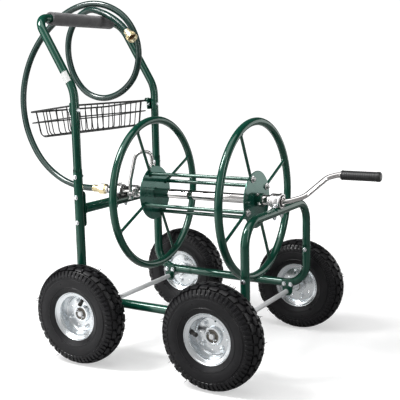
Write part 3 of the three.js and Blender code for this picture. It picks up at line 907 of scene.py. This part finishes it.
def tread_depth(along, f, flip):
    """How far the surface lies below the tread, at a distance along the section and a share of the
    pitch: a centre line, two rows of blocks with grooves between, shoulder lugs and a raised ring.
    """
    middle_groove, side_groove = (SECOND_GROOVE, GROOVE) if flip else (GROOVE, SECOND_GROOVE)
    if along <= 0.0012:
        return TREAD
    if along <= 0.0120:
        return TREAD if in_groove(f, middle_groove) else 0.0
    if 0.0130 <= along <= 0.0154:
        return TREAD
    if 0.0164 <= along <= 0.0270:
        return TREAD if in_groove(f, side_groove) else 0.0
    if 0.0280 <= along <= 0.0300:
        return TREAD * 0.75
    if 0.0310 <= along <= 0.0475:
        between_lugs = in_groove(f, GROOVE) or in_groove(f, SECOND_GROOVE)
        groove = 0.0030 if along < 0.0395 else 0.0012
        return groove if between_lugs else 0.0
    if 0.0740 <= along <= 0.0756:
        return -0.0009
    return 0.0016 if along < 0.0530 else 0.0


def tyre_mesh():
    """The tyre's section carried round, each cut and step lowered by the tread's depth there."""
    lengths = [0.0]
    for a, b in zip(OUTER_FACE, OUTER_FACE[1:]):
        lengths.append(lengths[-1] + (Vector(b) - Vector(a)).length)
    inside = [(0.0622, 0.0250), (0.0560, 0.0222), (0.0524, 0.0080)]
    columns = [(-1, s) for s in reversed(SECTION_CUTS[1:])] + [(1, s) for s in SECTION_CUTS]
    rows = [[] for _ in columns]
    inner = [(r, -a) for r, a in inside] + [(r, a) for r, a in reversed(inside)]
    inner_rows = [[] for _ in inner]
    for pitch in range(PITCHES):
        for f in PITCH_STEPS:
            zig = ZIGZAG * (abs(((f * 2) % 2) - 1) * 2 - 1)
            for row, (side, s) in zip(rows, columns):
                fade = max(0.0, min(1.0, (0.022 - s) / 0.007))
                shifted = s + side * zig * fade
                point, normal = section_at(lengths, abs(shifted))
                if shifted < 0:
                    point, normal = Vector((point.x, -point.y)), Vector((normal.x, -normal.y))
                low = point - normal * tread_depth(s, f, side > 0)
                lean = SLANT * side * min(s, 0.034) / 0.034
                turn = math.tau * (pitch + f + lean) / PITCHES
                row.append(Vector((low.x * math.cos(turn), -side * low.y, low.x * math.sin(turn))))
            for row, (r, a) in zip(inner_rows, inner):
                turn = math.tau * (pitch + f) / PITCHES
                row.append(Vector((r * math.cos(turn), -a, r * math.sin(turn))))
    shape = Shape()
    shape.grid(rows + inner_rows[::-1], closed=True)
    return mesh_of("tyre_with_tread", shape, MATERIAL["tyre_rubber"], 28)


def tyre_hairs():
    """Moulding hairs left on the shoulders."""
    rng = random.Random(11)
    shape = Shape()
    for _ in range(26):
        turn = rng.uniform(0, math.tau)
        side = rng.choice((-1, 1))
        out = Vector((math.cos(turn), 0, math.sin(turn)))
        foot = out * 0.1195 - Y * side * 0.0248
        lean = (out * 0.35 - Y * side * rng.uniform(0.5, 1.0)
                + out.cross(Y) * rng.uniform(-0.5, 0.5)).normalized()
        reach = rng.uniform(0.005, 0.010)
        swept(shape, [foot, foot + lean * reach * 0.6, foot + (lean + out * 0.2) * reach],
              [0.0006, 0.0005, 0.0003], 6)
    return mesh_of("tyre_hairs", shape, MATERIAL["tyre_rubber"])


def rim_mesh():
    """Pressed rim: a broad stepped flange outside, a deep well, and a shallower inner side."""
    face = [(0.0616, 0.0262), (0.0600, 0.0256), (0.0578, 0.0226), (0.0560, 0.0222),
            (0.0520, 0.0208), (0.0504, 0.0196), (0.0488, 0.0080), (0.0480, -0.0010),
            (0.0474, -0.0040), (0.0474, -0.0110), (0.0490, -0.0150), (0.0508, -0.0208),
            (0.0560, -0.0222), (0.0600, -0.0256), (0.0616, -0.0262)]
    tyre_side = [(0.0622, -0.0250), (0.0606, -0.0240), (0.0564, -0.0226), (0.0542, -0.0216),
                 (0.0520, -0.0090), (0.0520, 0.0090), (0.0542, 0.0216), (0.0564, 0.0226),
                 (0.0606, 0.0240), (0.0622, 0.0250)]
    shape = Shape()
    turned(shape, soft(face + tyre_side, 0.0007, closed=True, steps=2), (0, 0, 0), -Y, 80,
           closed=True)
    return mesh_of("rim_pressed", shape, MATERIAL["zinc"], 40)


def around_hub(radius, degrees):
    """A place on the wheel's face by its distance from the hub's centre and its angle."""
    return radius * math.cos(math.radians(degrees)), radius * math.sin(math.radians(degrees))


def wheel_disc_mesh():
    """The flat centre of the wheel, with small holes and a raised edge where it meets the rim."""
    shape = Shape()
    holes = [circle(0.0024, around_hub(0.0352, 90 * k), 20) for k in range(4)]
    plate(shape, circle(0.0472, steps=80), [circle(0.0226, steps=64)] + holes, SHEET,
          (0, 0.0080, 0), -Y, X, 0.0004)
    fold = [(0.0474, -0.0068), (0.0474, -0.0022), (0.0464, -0.0026), (0.0440, -0.0060),
            (0.0432, -0.0068)]
    turned(shape, soft(fold, 0.0008, closed=True, steps=2), (0, 0, 0), -Y, 80, closed=True)
    return mesh_of("wheel_disc_pressed", shape, MATERIAL["zinc"], 40)


def wheel_bolts_mesh():
    """Four bolts through the rim's disc, nuts outside."""
    shape = Shape()
    for k in range(4):
        x, z = around_hub(0.0345, 45 + 90 * k)
        bolt_head(shape, (x, 0.0095, z), Y, WHEEL_BOLT)
        nut_end(shape, (x, 0.0065, z), -Y, WHEEL_BOLT)
    return mesh_of("wheel_bolts", shape, MATERIAL["zinc"])


def hub_mesh():
    """Bearing housing: a barrel towards the cart and a ring that stands out of the disc."""
    shape = Shape()
    outline = [(0.0140, -0.0300), (0.0160, -0.0300), (0.0160, -0.0112), (0.0226, -0.0108),
               (0.0226, -0.0010), (0.0214, 0.0010), (0.0168, 0.0010), (0.0156, -0.0002),
               (0.0152, -0.0060), (0.0140, -0.0080)]
    turned(shape, soft(outline, 0.0007, closed=True, steps=3), (0, 0, 0), -Y, 56, closed=True)
    return mesh_of("wheel_hub", shape, MATERIAL["zinc"])


def bearing_mesh():
    """The greasy bearing in each mouth of the hub: outer race, balls' cage and inner race."""
    shape = Shape()
    for end, out in ((-0.0020, 1), (-0.0296, -1)):
        sleeve(shape, 0.0128, 0.0152, end - 0.0030 * out, end, -Y, (0, 0, 0), 44, 0.0004)
        sleeve(shape, AXLE_R + 0.0003, 0.0092, end - 0.0030 * out, end + 0.0006 * out, -Y,
               (0, 0, 0), 40, 0.0004)
        sleeve(shape, 0.0090, 0.0130, end - 0.0030 * out, end - 0.0010 * out, -Y, (0, 0, 0), 44,
               0.0002)
        for k in range(10):
            x, z = around_hub(0.0110, 36 * k)
            rod(shape, 0.0016, -0.0010, 0.0007, -Y * out, (x, -(end - 0.0010 * out), z), 14, 0.0005)
    return mesh_of("wheel_bearings", shape, MATERIAL["greased"])


def valve_mesh():
    """A snap-in valve stem out of the rim's well: rubber foot, stem and ribbed cap."""
    foot, tip = Vector((0.0492, -0.0110, 0)), Vector((0.0300, -0.0195, 0))
    run = (tip - foot).normalized()
    length = (tip - foot).length
    waist = length * 0.50
    shape = Shape()
    turned(shape, soft([(0, -0.0010), (0.0066, -0.0010), (0.0064, 0.0022), (0.0046, 0.0040),
                        (0.0043, waist), (0, waist)], 0.0006), foot, run, 28)
    turned(shape, soft([(0, waist), (0.0050, waist), (0.0050, length - 0.0014), (0.0040, length),
                        (0, length)], 0.0004), foot, run, 28)
    for outward in around(run, 14):
        at = foot + outward * 0.0049
        swept(shape, [at + run * length * 0.54, at + run * (length - 0.0018)], 0.0004, 6)
    return mesh_of("valve_stem", shape, MATERIAL["seal"])


def add_wheels():
    level_parts = [("tyre", tyre_mesh(), "tyre_rubber", "tyre"),
                   ("tyre_hairs", tyre_hairs(), "tyre_rubber", None)]
    turned_parts = [("rim", rim_mesh(), "zinc", "rim"),
                    ("disc", wheel_disc_mesh(), "zinc", "wheel_disc"),
                    ("disc_bolts", wheel_bolts_mesh(), "zinc", None),
                    ("hub", hub_mesh(), "zinc", "hub"),
                    ("bearings", bearing_mesh(), "zinc", None)]
    valve = valve_mesh()
    for name, spin in (("rear_near", 66), ("rear_far", 150), ("front_near", 172), ("front_far", 300)):
        level = Matrix.Translation(joints[f"wheel_{name}_spin"]["pos_m"])
        if name.endswith("far"):
            level = level @ Matrix.Rotation(math.pi, 4, "Z")
        placed = level @ Matrix.Rotation(math.radians(-spin), 4, "Y")
        for parts, place in ((level_parts, level), (turned_parts, placed)):
            for part, mesh, slot, node in parts:
                nodes = [f"{node}_{name}"] if node else []
                show(f"{part}_{name}_piece", mesh, f"wheel_{name}", nodes, place)
        show(f"valve_stem_{name}", valve, f"wheel_{name}", placed=placed)


# ---- reel ------------------------------------------------
def on_reel(x, radius, degrees):
    """A point by its place along the reel axis, its distance from it and its angle."""
    a = math.radians(degrees)
    return Vector((x, radius * math.cos(a), AXIS_Z + radius * math.sin(a)))


def add_reel():
    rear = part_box("rear_disc")[0].x
    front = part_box("front_disc")[1].x
    for place, outer_x, s in (("rear", rear, -1), ("front", front, 1)):
        ring_x = middle(f"{place}_ring").x
        ring = Shape()
        swept(ring, [on_reel(ring_x, RING_R, 360 * k / 128) for k in range(128)], RING_TUBE_R, 24,
              closed=True)
        make(f"{place}_ring_tube", ring, "reel", "green_paint", [f"{place}_ring"])
        add_disc(place, outer_x - s * SHEET / 2, s)
        add_spokes(place, ring_x)
    add_drum_bars(rear + SHEET / 2, front - SHEET / 2)
    add_shaft()
    add_shaft_collar(front)


def add_disc(place, x, s):
    """A round end plate of the drum, welded to the shaft."""
    disc = Shape()
    plate(disc, circle(DISC_R, steps=96), [circle(SHAFT_R + 0.0003, steps=48)], SHEET,
          (x, 0, AXIS_Z), X, Y, 0.0009)
    weld(disc, (x + s * 0.0016, 0, AXIS_Z), X, SHAFT_R + 0.0012, 0.0016, seed=9)
    # The disc plate takes the lighter copy of the green paint, its painted sheen.
    make(f"{place}_disc_plate", disc, "reel", "green_paint", [f"{place}_disc"], "disc_paint_painted_sheen")


def add_spokes(place, x):
    """Four rods from behind the disc to the ring, welded there."""
    spokes = Shape()
    for k in range(4):
        angle = SPOKE_PHASE + 90 * k
        foot, top = on_reel(x, 0.052, angle), on_reel(x, RING_R - 0.0094, angle)
        swept(spokes, [foot, top], SPOKE_R, 20)
        weld(spokes, top - (top - foot).normalized() * 0.0010, top - foot, SPOKE_R + 0.0006,
             0.0013, 24, seed=20 + k)
    make(f"{place}_spokes", spokes, "reel", "green_paint")


def add_drum_bars(rear, front):
    """Four bars between the discs' middle planes, and the domed bolts on their ends."""
    bolts = Shape()
    dome = [(0, 0.0088), (0.0030, 0.0084), (0.0052, 0.0068), (0.0058, 0.0048), (0.0058, 0.0016),
            (0, 0.0016)]
    half = SHEET / 2
    for k in range(4):
        angle = SPOKE_PHASE + 90 * k
        shape = Shape()
        swept(shape, [on_reel(x, BAR_CIRCLE, angle) for x in (rear + half, front - half)], BAR_R, 24)
        make(f"drum_bar_{k + 1}_rod", shape, "reel", "green_paint", [f"drum_bar_{k + 1}"])
        for x, s in ((rear - half, -1), (front + half, 1)):
            at = on_reel(x, BAR_CIRCLE, angle)
            rod(bolts, 0.0092, 0, 0.0016, X * s, at, 28, 0.0004)
            turned(bolts, dome, at, X * s, 28)
    make("drum_bar_bolts", bolts, "reel", "chrome", finish="cast_chrome")


def add_shaft():
    """The hollow shaft, with a socket for the crank in its front end."""
    low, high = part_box("reel_shaft")
    bore, socket, deep = 0.0088, CRANK_R + 0.0004, 0.030
    profile = [(bore, low.x), (SHAFT_R, low.x), (SHAFT_R, high.x), (socket, high.x),
               (socket, high.x - deep), (bore, low.x + deep)]
    shaft = Shape()
    turned(shaft, soft(profile, 0.0007, closed=True, steps=2), ON_AXIS, X, 40, closed=True)
    make("reel_shaft_tube", shaft, "reel", "chrome", ["reel_shaft"])


def add_shaft_collar(face):
    """The collar in front of the front disc and its two set screws."""
    collar = Shape()
    sleeve(collar, SHAFT_R + 0.0001, 0.0168, face + 0.0002, face + 0.0190, X, ON_AXIS, 36, 0.0012)
    make("reel_shaft_collar", collar, "reel", "green_paint")
    screws = Shape()
    for angle, x in ((128, 0.0068), (206, 0.0130)):
        at = on_reel(face + x, 0.0160, angle)
        outward = at - on_reel(face + x, 0, angle)
        turned(screws, hex_profile(0.0090, 0.0052), at, outward, 6)
        threaded(screws, 0.0026, 0.0052, 0.0082, outward, at, 0.0009)
    make("reel_collar_screws", screws, "reel", "chrome")


def stepped(shape, bore, steps, centre, sides):
    """Sleeves on one bore along X: each step is (outer radius, start, end, edge)."""
    for outer, start, end, edge in steps:
        sleeve(shape, bore, outer, start, end, X, centre, sides, edge)


def add_outlet():
    """Collar and elbow on the shaft, the gooseneck and its threaded fitting."""
    mid, half = span("outlet_collar")
    socket = Vector((mid.x, mid.y - half.y + 0.0085, AXIS_Z))
    add_outlet_collar(socket, half.x)
    end = pipe_end()
    corners = [(socket, 0)]
    for dx, y, rise, bend in GOOSENECK:
        corners.append((Vector((socket.x + dx, y, AXIS_Z + rise)), bend))
    pipe = Shape()
    swept(pipe, bent(corners + [(end, 0)], 4), OUTLET_R, 24)
    make("outlet_pipe_gooseneck", pipe, "reel", "chrome", ["outlet_pipe"])
    add_outlet_fitting(end, end - corners[-1][0])


def add_outlet_collar(socket, half):
    """A cast collar on the shaft, an arm to its near side and a cup with a hex nut."""
    collar = Shape()
    stepped(collar, SHAFT_R + 0.0002, [
        (0.0165, -half, half, 0.0012), (0.0172, -half + 0.002, -half + 0.005, 0.0006),
        (0.0172, half - 0.005, half - 0.002, 0.0006)], Vector((socket.x, 0, AXIS_Z)), 40)
    swept(collar, [Vector((socket.x, -0.006, AXIS_Z - 0.004)), socket - Z * 0.010], 0.0080, 28)
    base = socket - Z * 0.0190
    rod(collar, 0.0074, 0, 0.0185, Z, base, 28, 0.0012)
    turned(collar, [(0.0048, 0), (0.0098, 0), (0.0098, 0.0068), (0.0085, 0.0080), (0.0048, 0.0080)],
           base + Z * 0.0108, Z, 6, closed=True)
    make("outlet_collar_elbow", collar, "reel", "chrome", ["outlet_collar"], "cast_chrome")


def add_outlet_fitting(end, along):
    """A ring, a hex and a threaded mouth on the gooseneck's end."""
    bore, mouth = 0.0049, 0.0060
    fitting = Shape()
    ring = soft([(bore, 0.0004), (0.0078, 0.0004), (0.0078, 0.0068), (0.0072, 0.0072)], 0.0005)
    turned(fitting, ring + [Vector((bore, 0.0072))], end, along, 32, closed=True)
    turned(fitting, [(bore, 0.0068), (0.0110, 0.0068), (0.0112, 0.0080), (0.0112, 0.0108),
                     (0.0102, 0.0114), (bore, 0.0114)], end, along, 6, closed=True)
    profile = [(mouth, 0.0110)]
    for k in range(5):
        a = 0.0118 + k * 0.0019
        profile += [(0.0080, a), (0.0090, a + 0.0007), (0.0090, a + 0.0011)]
    profile += [(0.0082, 0.0214), (0.0078, 0.0220), (0.0062, 0.0220), (mouth, 0.0120)]
    turned(fitting, profile, end, along, 36, closed=True)
    make("outlet_fitting_threaded", fitting, "reel", "chrome", ["outlet_fitting"])


def pipe_end():
    """The gooseneck's end: the fitting starts there and runs on along its seat's axis."""
    half_fitting = 0.01115
    seat = next(m for m in frame["record"]["mounts"] if m["name"] == "hose_outlet_seat")
    return middle("outlet_fitting") - Vector(seat["axis"]).normalized() * half_fitting


def add_bearings():
    """The shaft's two bearings, and the bolts that hold them to the cross tube and the hoop."""
    bolts = Shape()
    add_rear_bearing()
    saddle_bolts(bolts, middle("rear_bearing").x, 0.0215, CROSS_Z, CROSS_R, REAR_SADDLE_BOLT)
    add_front_bearing()
    saddle_bolts(bolts, FRONT_X, 0.0205, HOOP_Z, UPPER_R, FRONT_SADDLE_BOLT)
    make("bearing_bolts", bolts, "cart_frame", "zinc")


def add_rear_bearing():
    """A ring with a set screw on top, and the strap under it."""
    mid, reach = span("rear_bearing")
    half = reach.x
    ring = Shape()
    stepped(ring, SHAFT_R + 0.0004, [
        (0.0172, -half, half, 0.0010), (0.0175, -half, -half + 0.004, 0.0008),
        (0.0175, half - 0.004, half, 0.0008)], Vector((mid.x, 0, AXIS_Z)), 44)
    turned(ring, hex_profile(0.0080, 0.0045), Vector((mid.x, 0, AXIS_Z + 0.0168)), Z, 6)
    make("rear_bearing_ring", ring, "cart_frame", "chrome", ["rear_bearing"], "cast_chrome")
    foot = Shape()
    saddle_plate(foot, mid.x, reach.y, CROSS_Z, CROSS_R)
    make("rear_bearing_saddle", foot, "cart_frame", "black_paint")


def add_front_bearing():
    """A barrel on three feet, its seal and the strap under it."""
    mid, reach = span("front_bearing")
    half, neck = reach.x, 0.0140
    barrel = Shape()
    stepped(barrel, SHAFT_R + 0.0004, [
        (neck, -half, -half + 0.0090, 0.0008), (0.0182, -half + 0.0085, half - 0.0030, 0.0020),
        (0.0194, -half + 0.0130, -half + 0.0160, 0.0010), (0.0198, half - 0.0070, half, 0.0014)],
        Vector((mid.x, 0, AXIS_Z)), 48)
    hoop_top = HOOP_Z + UPPER_R + 0.0018
    for y, radius in ((-0.0135, 0.0065), (0, 0.0075), (0.0135, 0.0065)):
        rod(barrel, radius, 0, AXIS_Z - neck - hoop_top, Z, Vector((FRONT_X, y, hoop_top)), 24,
            0.0010)
    make("front_bearing_barrel", barrel, "cart_frame", "chrome", ["front_bearing"], "cast_chrome")
    seal = Shape()
    face = mid.x + half
    sleeve(seal, CRANK_R + 0.0006, 0.0150, face + 0.0003, face + 0.0021, X, ON_AXIS, 40, 0.0006)
    make("front_bearing_seal", seal, "reel", "grip_plastic", finish="seal")
    foot = Shape()
    saddle_plate(foot, FRONT_X, reach.y, HOOP_Z, UPPER_R)
    make("front_bearing_saddle", foot, "cart_frame", "green_paint")


def saddle_bolts(shape, x, y, tube_z, tube_r, size):
    """A bolt down through the strap and the tube on each side of a bearing."""
    for at_y in (-y, y):
        bolt_head(shape, (x, at_y, tube_z + tube_r + 0.0014), Z, size)
        nut_end(shape, (x, at_y, tube_z - tube_r + 0.0008), -Z, size)


def saddle_plate(shape, x, half_y, tube_z, tube_r):
    """A strap bent over a cross tube under its bearing."""
    inner, outer = tube_r + 0.0004, tube_r + 0.0016
    turns = [math.radians(20 + 140 * k / 20) for k in range(21)]
    loops = []
    for y in (-half_y, half_y):
        loops.append([Vector((x + r * math.cos(a), y, tube_z + r * math.sin(a)))
                      for r, angles in ((outer, turns), (inner, turns[::-1])) for a in angles])
    shape.grid(loops, caps=True)


def add_crank():
    low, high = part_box("crank_rod")
    corners = [(low.x, 0, 0), (low.x + 0.042, 0, 0.040), (low.x + 0.078, 0.020, 0.045),
               (low.x + 0.114, 0.096, 0.030), (low.x + 0.138, CRANK_THROW, 0.026),
               (high.x, CRANK_THROW, 0)]
    path = bent([(on_reel(x, throw, CRANK_PHASE), bend) for x, throw, bend in corners], 4)
    shape = Shape()
    swept(shape, path, CRANK_R, 28)
    make("crank_rod_bent", shape, "reel", "chrome", ["crank_rod"])
    add_crank_grip(high.x + 0.0004)


def add_crank_grip(bottom):
    """A ribbed sleeve with a lip at each end and a blind bore, and the washer that stops it."""
    low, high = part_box("crank_grip")
    a, b = low.x, high.x
    centre = on_reel(0, CRANK_THROW, CRANK_PHASE)
    bore, body, rib = CRANK_R + 0.0005, 0.0116, 0.0120
    profile = [(bore, a), (0.0112, a), (0.0123, a + 0.0010), (0.0123, a + 0.0040), (body, a + 0.0052)]
    ribs = 14
    step = (b - a - 0.0190) / ribs
    for k in range(ribs):
        start = a + 0.0060 + k * step
        profile += [(body, start), (rib, start + step * 0.28), (rib, start + step * 0.66),
                    (body, start + step * 0.92)]
    profile += [(body, b - 0.0125), (0.0124, b - 0.0110), (0.0124, b - 0.0030), (0.0096, b), (0, b)]
    grip = Shape()
    turned(grip, [(0, bottom), (bore, bottom)] + soft(profile, 0.0007, steps=2), centre, X, 40)
    make("crank_grip_ribbed", grip, "crank_handle", "grip_plastic", ["crank_grip"])
    washer = Shape()
    sleeve(washer, CRANK_R + 0.0001, 0.0098, a - 0.0026, a - 0.0006, X, centre, 28, 0.0004)
    make("crank_grip_stop_washer", washer, "reel", "chrome")


# ---- basket ----------------------------------------------
BASKET_LOW, BASKET_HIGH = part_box("wire_basket")
RIM_WIRE_R, HOOP_WIRE_R, CROSS_WIRE_R = 0.0025, 0.0018, 0.0015
RIM_TILT, FLOOR_FALL = 0.019, 0.017
HOOP_LEVEL = 0.42                # the wire loop between the rim and the floor


def basket_level(share, inset=0.0):
    """The four corners of a level of the basket: share 0 is the rim and 1 the floor."""
    low, high = BASKET_LOW, BASKET_HIGH

    def between(rim, floor):
        return rim + (floor - rim) * share

    x0 = between(low.x + RIM_WIRE_R, low.x + 0.014) + inset
    x1 = between(high.x - RIM_WIRE_R, high.x - 0.0088) - inset
    y = between(high.y - RIM_WIRE_R, high.y - 0.012) - inset
    z0 = between(high.z - RIM_TILT - RIM_WIRE_R, low.z + HOOP_WIRE_R)
    z1 = between(high.z - RIM_WIRE_R, low.z + FLOOR_FALL + HOOP_WIRE_R)
    return [Vector((x0, -y, z0)), Vector((x1, -y, z1)), Vector((x1, y, z1)), Vector((x0, y, z0))]


def add_basket():
    shape = Shape()
    for share, inset, radius, sides in ((0, 0, RIM_WIRE_R, 14), (HOOP_LEVEL, -0.0032, HOOP_WIRE_R, 12)):
        corners = basket_level(share, inset)
        mid = (corners[0] + corners[-1]) / 2
        loop = bent([(mid, 0)] + [(c, 0.014) for c in corners] + [(mid, 0)], 10)[:-1]
        swept(shape, loop, radius, sides, closed=True)
    make("basket_frame_wires", shape, "cart_frame", "black_paint", ["wire_basket"])
    add_cross_wires()
    for side, s in SIDES:
        add_basket_clip(f"basket_clip_{side}", s)


def add_cross_wires():
    """Wires from the rim down one side, along the floor and up the other, both ways across."""
    rim, base = basket_level(0.02, CROSS_WIRE_R), basket_level(1)
    shares = [(k + 0.95) / 12.9 for k in range(12)]
    runs = [((0, 3), (1, 2), t, Z * 0, 0.012) for t in shares]
    runs += [((0, 1), (3, 2), t, Z * 2 * CROSS_WIRE_R, 0.014) for t in (0.14, 0.38, 0.62, 0.86)]
    wires = Shape()
    for (a, b), (c, d), t, lift, bend in runs:
        path = [(rim[a].lerp(rim[b], t), 0), (base[a].lerp(base[b], t) + lift, 0.014),
                (base[c].lerp(base[d], t) + lift, bend), (rim[c].lerp(rim[d], t), 0)]
        swept(wires, bent(path, 15), CROSS_WIRE_R, 10)
    make("basket_cross_wires", wires, "cart_frame", "black_paint")


def add_basket_clip(node, s):
    """A plate that hooks the basket's wires and bolts to the handle leg."""
    mid, half = span(node)
    clip = Shape()
    plate(clip, rounded_box((-half.y, -half.z), (half.y, half.z), 0.005), [], half.x * 2, mid, X, Y)
    top = mid.z + half.z - RIM_WIRE_R
    foot = mid.z - half.z + FLOOR_FALL + HOOP_WIRE_R
    for z, radius in ((top - 0.0005, RIM_WIRE_R), (top + (foot - top) * HOOP_LEVEL, HOOP_WIRE_R)):
        at = Vector((BASKET_HIGH.x - RIM_WIRE_R, mid.y - s * 0.004, z))
        sleeve(clip, radius + 0.0001, radius + 0.0018, -0.008, 0.008, Y, at, 20, 0.0004)
    make(f"{node}_plate", clip, "cart_frame", "green_paint", [node])
    bolts = Shape()
    z = mid.z - 0.002
    bolt_head(bolts, (REAR_X + UPPER_R - 0.0012, s * FRAME_Y, z), X, (0.0075, 0.0028, 0.0052))
    bolt_head(bolts, (mid.x - half.x, s * FRAME_Y, z), -X, RAIL_BOLT)
    bolt_head(bolts, (mid.x + half.x, s * (FRAME_Y - 0.0160), z), X, (0.0070, 0.0030, 0.0048))
    make(f"{node}_bolts", bolts, "cart_frame", "zinc")


# ---- frame bolts -----------------------------------------
def add_frame_bolts():
    """Bolts across the plugged joints and through the uprights into the cross plates."""
    joints_at = [(REAR_X, REAR_SEAM_Z - 0.019, LOWER_R), (FRONT_X, FRONT_SEAM_Z - 0.014, RAIL_R)]
    skin = 0.0010
    for side, s in SIDES:
        shape = Shape()
        for x, z, r in joints_at:
            bolt_head(shape, (x, s * FRAME_Y - (r - skin), z), -Y, FRAME_BOLT)
            nut_end(shape, (x, s * FRAME_Y + (r - skin), z), Y, FRAME_BOLT)
        mid, half = span(f"cross_plate_{side}")
        inner, outer = mid.y - s * half.y, s * (FRAME_Y + LOWER_R - skin)
        for z in (CROSS_Z + PLATE_BOLT_Z, CROSS_Z - PLATE_BOLT_Z):
            bolt_head(shape, (REAR_X, outer, z), Y * s, FRAME_BOLT)
            nut_end(shape, (REAR_X, inner, z), Y * -s, FRAME_BOLT)
        bolt_head(shape, (LOWER_SEAM_X - 0.012, outer, RAIL_Z), Y * s, RAIL_BOLT)
        make(f"frame_bolts_{side}", shape, "cart_frame", "zinc")


def add_inlet_pipe():
    low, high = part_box("inlet_pipe")
    shape = Shape()
    rod(shape, 0.0080, low.x, high.x, X, ON_AXIS, 32, 0.0008)
    sleeve(shape, 0.0079, 0.0112, low.x + 0.0180, low.x + 0.0230, X, ON_AXIS, 32, 0.0008)
    make("inlet_pipe_stub", shape, "cart_frame", "chrome", ["inlet_pipe"])


# ---- studio ----------------------------------------------
def floor_paper():
    """White paper: it glows more far out for the camera, and lights the cart as a grey painted lighter
    towards -X and darker towards +X, a painted shade in what the cart reflects.
    """
    s = Surface("floor_paper")
    s.colour(s.ramp(s.noise(3, 2), [(0.2, (0.56, 0.56, 0.56)), (0.8, (0.59, 0.59, 0.59))]))
    s.gloss(s.noise(8, 2), 0.85, 0.95)
    away = s.vector_math("LENGTH", s.place)
    glow = s.remap(away.outputs["Value"], 0.7, 2.4, 0.50, 1.0)
    s.link(glow, s.shader.inputs["Emission Strength"])
    s.shader.inputs["Emission Color"].default_value = (1, 1, 1, 1)
    sides = s.node("ShaderNodeSeparateXYZ")
    s.link(s.place, sides.inputs["Vector"])
    # Painted shade: the grey the cart sees goes from light at -X to dark at +X.
    grey = s.node("ShaderNodeBsdfDiffuse")
    s.link(s.remap(sides.outputs["X"], -0.5, 0.3, 0.75, 0.30), grey.inputs["Color"])
    s.two_faced(grey.outputs["BSDF"], s.shader.outputs["BSDF"], "Material Output")
    return s.material


def add_floor():
    size = 14.0
    sheet = Shape()
    sheet.add([Vector((x * size, y * size, 0)) for x, y in ((-1, -1), (1, -1), (1, 1), (-1, 1))],
              [(0, 1, 2, 3)])
    paper = bpy.data.objects.new("floor", mesh_of("floor", sheet, floor_paper()))
    bpy.context.scene.collection.objects.link(paper)


def add_world():
    """A studio that is bright behind the camera and dark at the back, seen as plain white."""
    world = bpy.data.worlds.new("studio")
    bpy.context.scene.world = world
    world.use_nodes = True
    w = Nodes(world.node_tree)
    toward = w.vector_math("DOT_PRODUCT", w.node("ShaderNodeTexCoord").outputs["Generated"])
    toward.inputs[1].default_value = (0.50, -0.86, 0.08)
    levels = w.ramp(w.remap(toward.outputs["Value"], -1, 1, 0, 1),
                    [(0.0, 0.5), (0.03, 0.3), (0.08, 0.06), (0.50, 0.03), (0.74, 0.42), (1.0, 0.42)])
    background = w.tree.nodes["Background"]
    background.inputs["Strength"].default_value = 1.0
    w.link(levels, background.inputs["Color"])
    seen = w.node("ShaderNodeBackground", Color=(1, 1, 1, 1), Strength=1.05)
    w.two_faced(background.outputs["Background"], seen.outputs["Background"], "World Output")


def add_lights():
    lights = [
        ("key", (-1.3, -1.1, 2.4), (0.5, 1.0), 75),
        ("left_card", (-1.6, -2.0, 1.0), (1.5, 1.8), 20),
        ("right_strip", (2.2, -0.5, 1.3), (0.2, 1.6), 10),
        ("right_card", (1.3, 2.2, 0.7), (1.4, 1.4), 9),
        ("ceiling", (0.2, -0.6, 3.0), (2.8, 1.8), 34),
    ]
    aim = Vector((0, 0, 0.4))
    for name, at, size, watts in lights:
        data = bpy.data.lights.new(name, "AREA")
        data.shape = "RECTANGLE"
        data.size, data.size_y = size
        data.energy = watts
        lamp = bpy.data.objects.new(name, data)
        lamp.location = at
        lamp.rotation_euler = (aim - lamp.location).to_track_quat("-Z", "Y").to_euler()
        bpy.context.scene.collection.objects.link(lamp)
    bpy.context.scene.view_settings.view_transform = "Standard"


add_camera()
add_hose()
add_frame()
add_grip()
add_sticker()
add_cross_tube()
add_axles()
add_wheels()
add_reel()
add_outlet()
add_bearings()
add_crank()
add_basket()
add_frame_bolts()
add_inlet_pipe()
add_floor()
add_world()
add_lights()
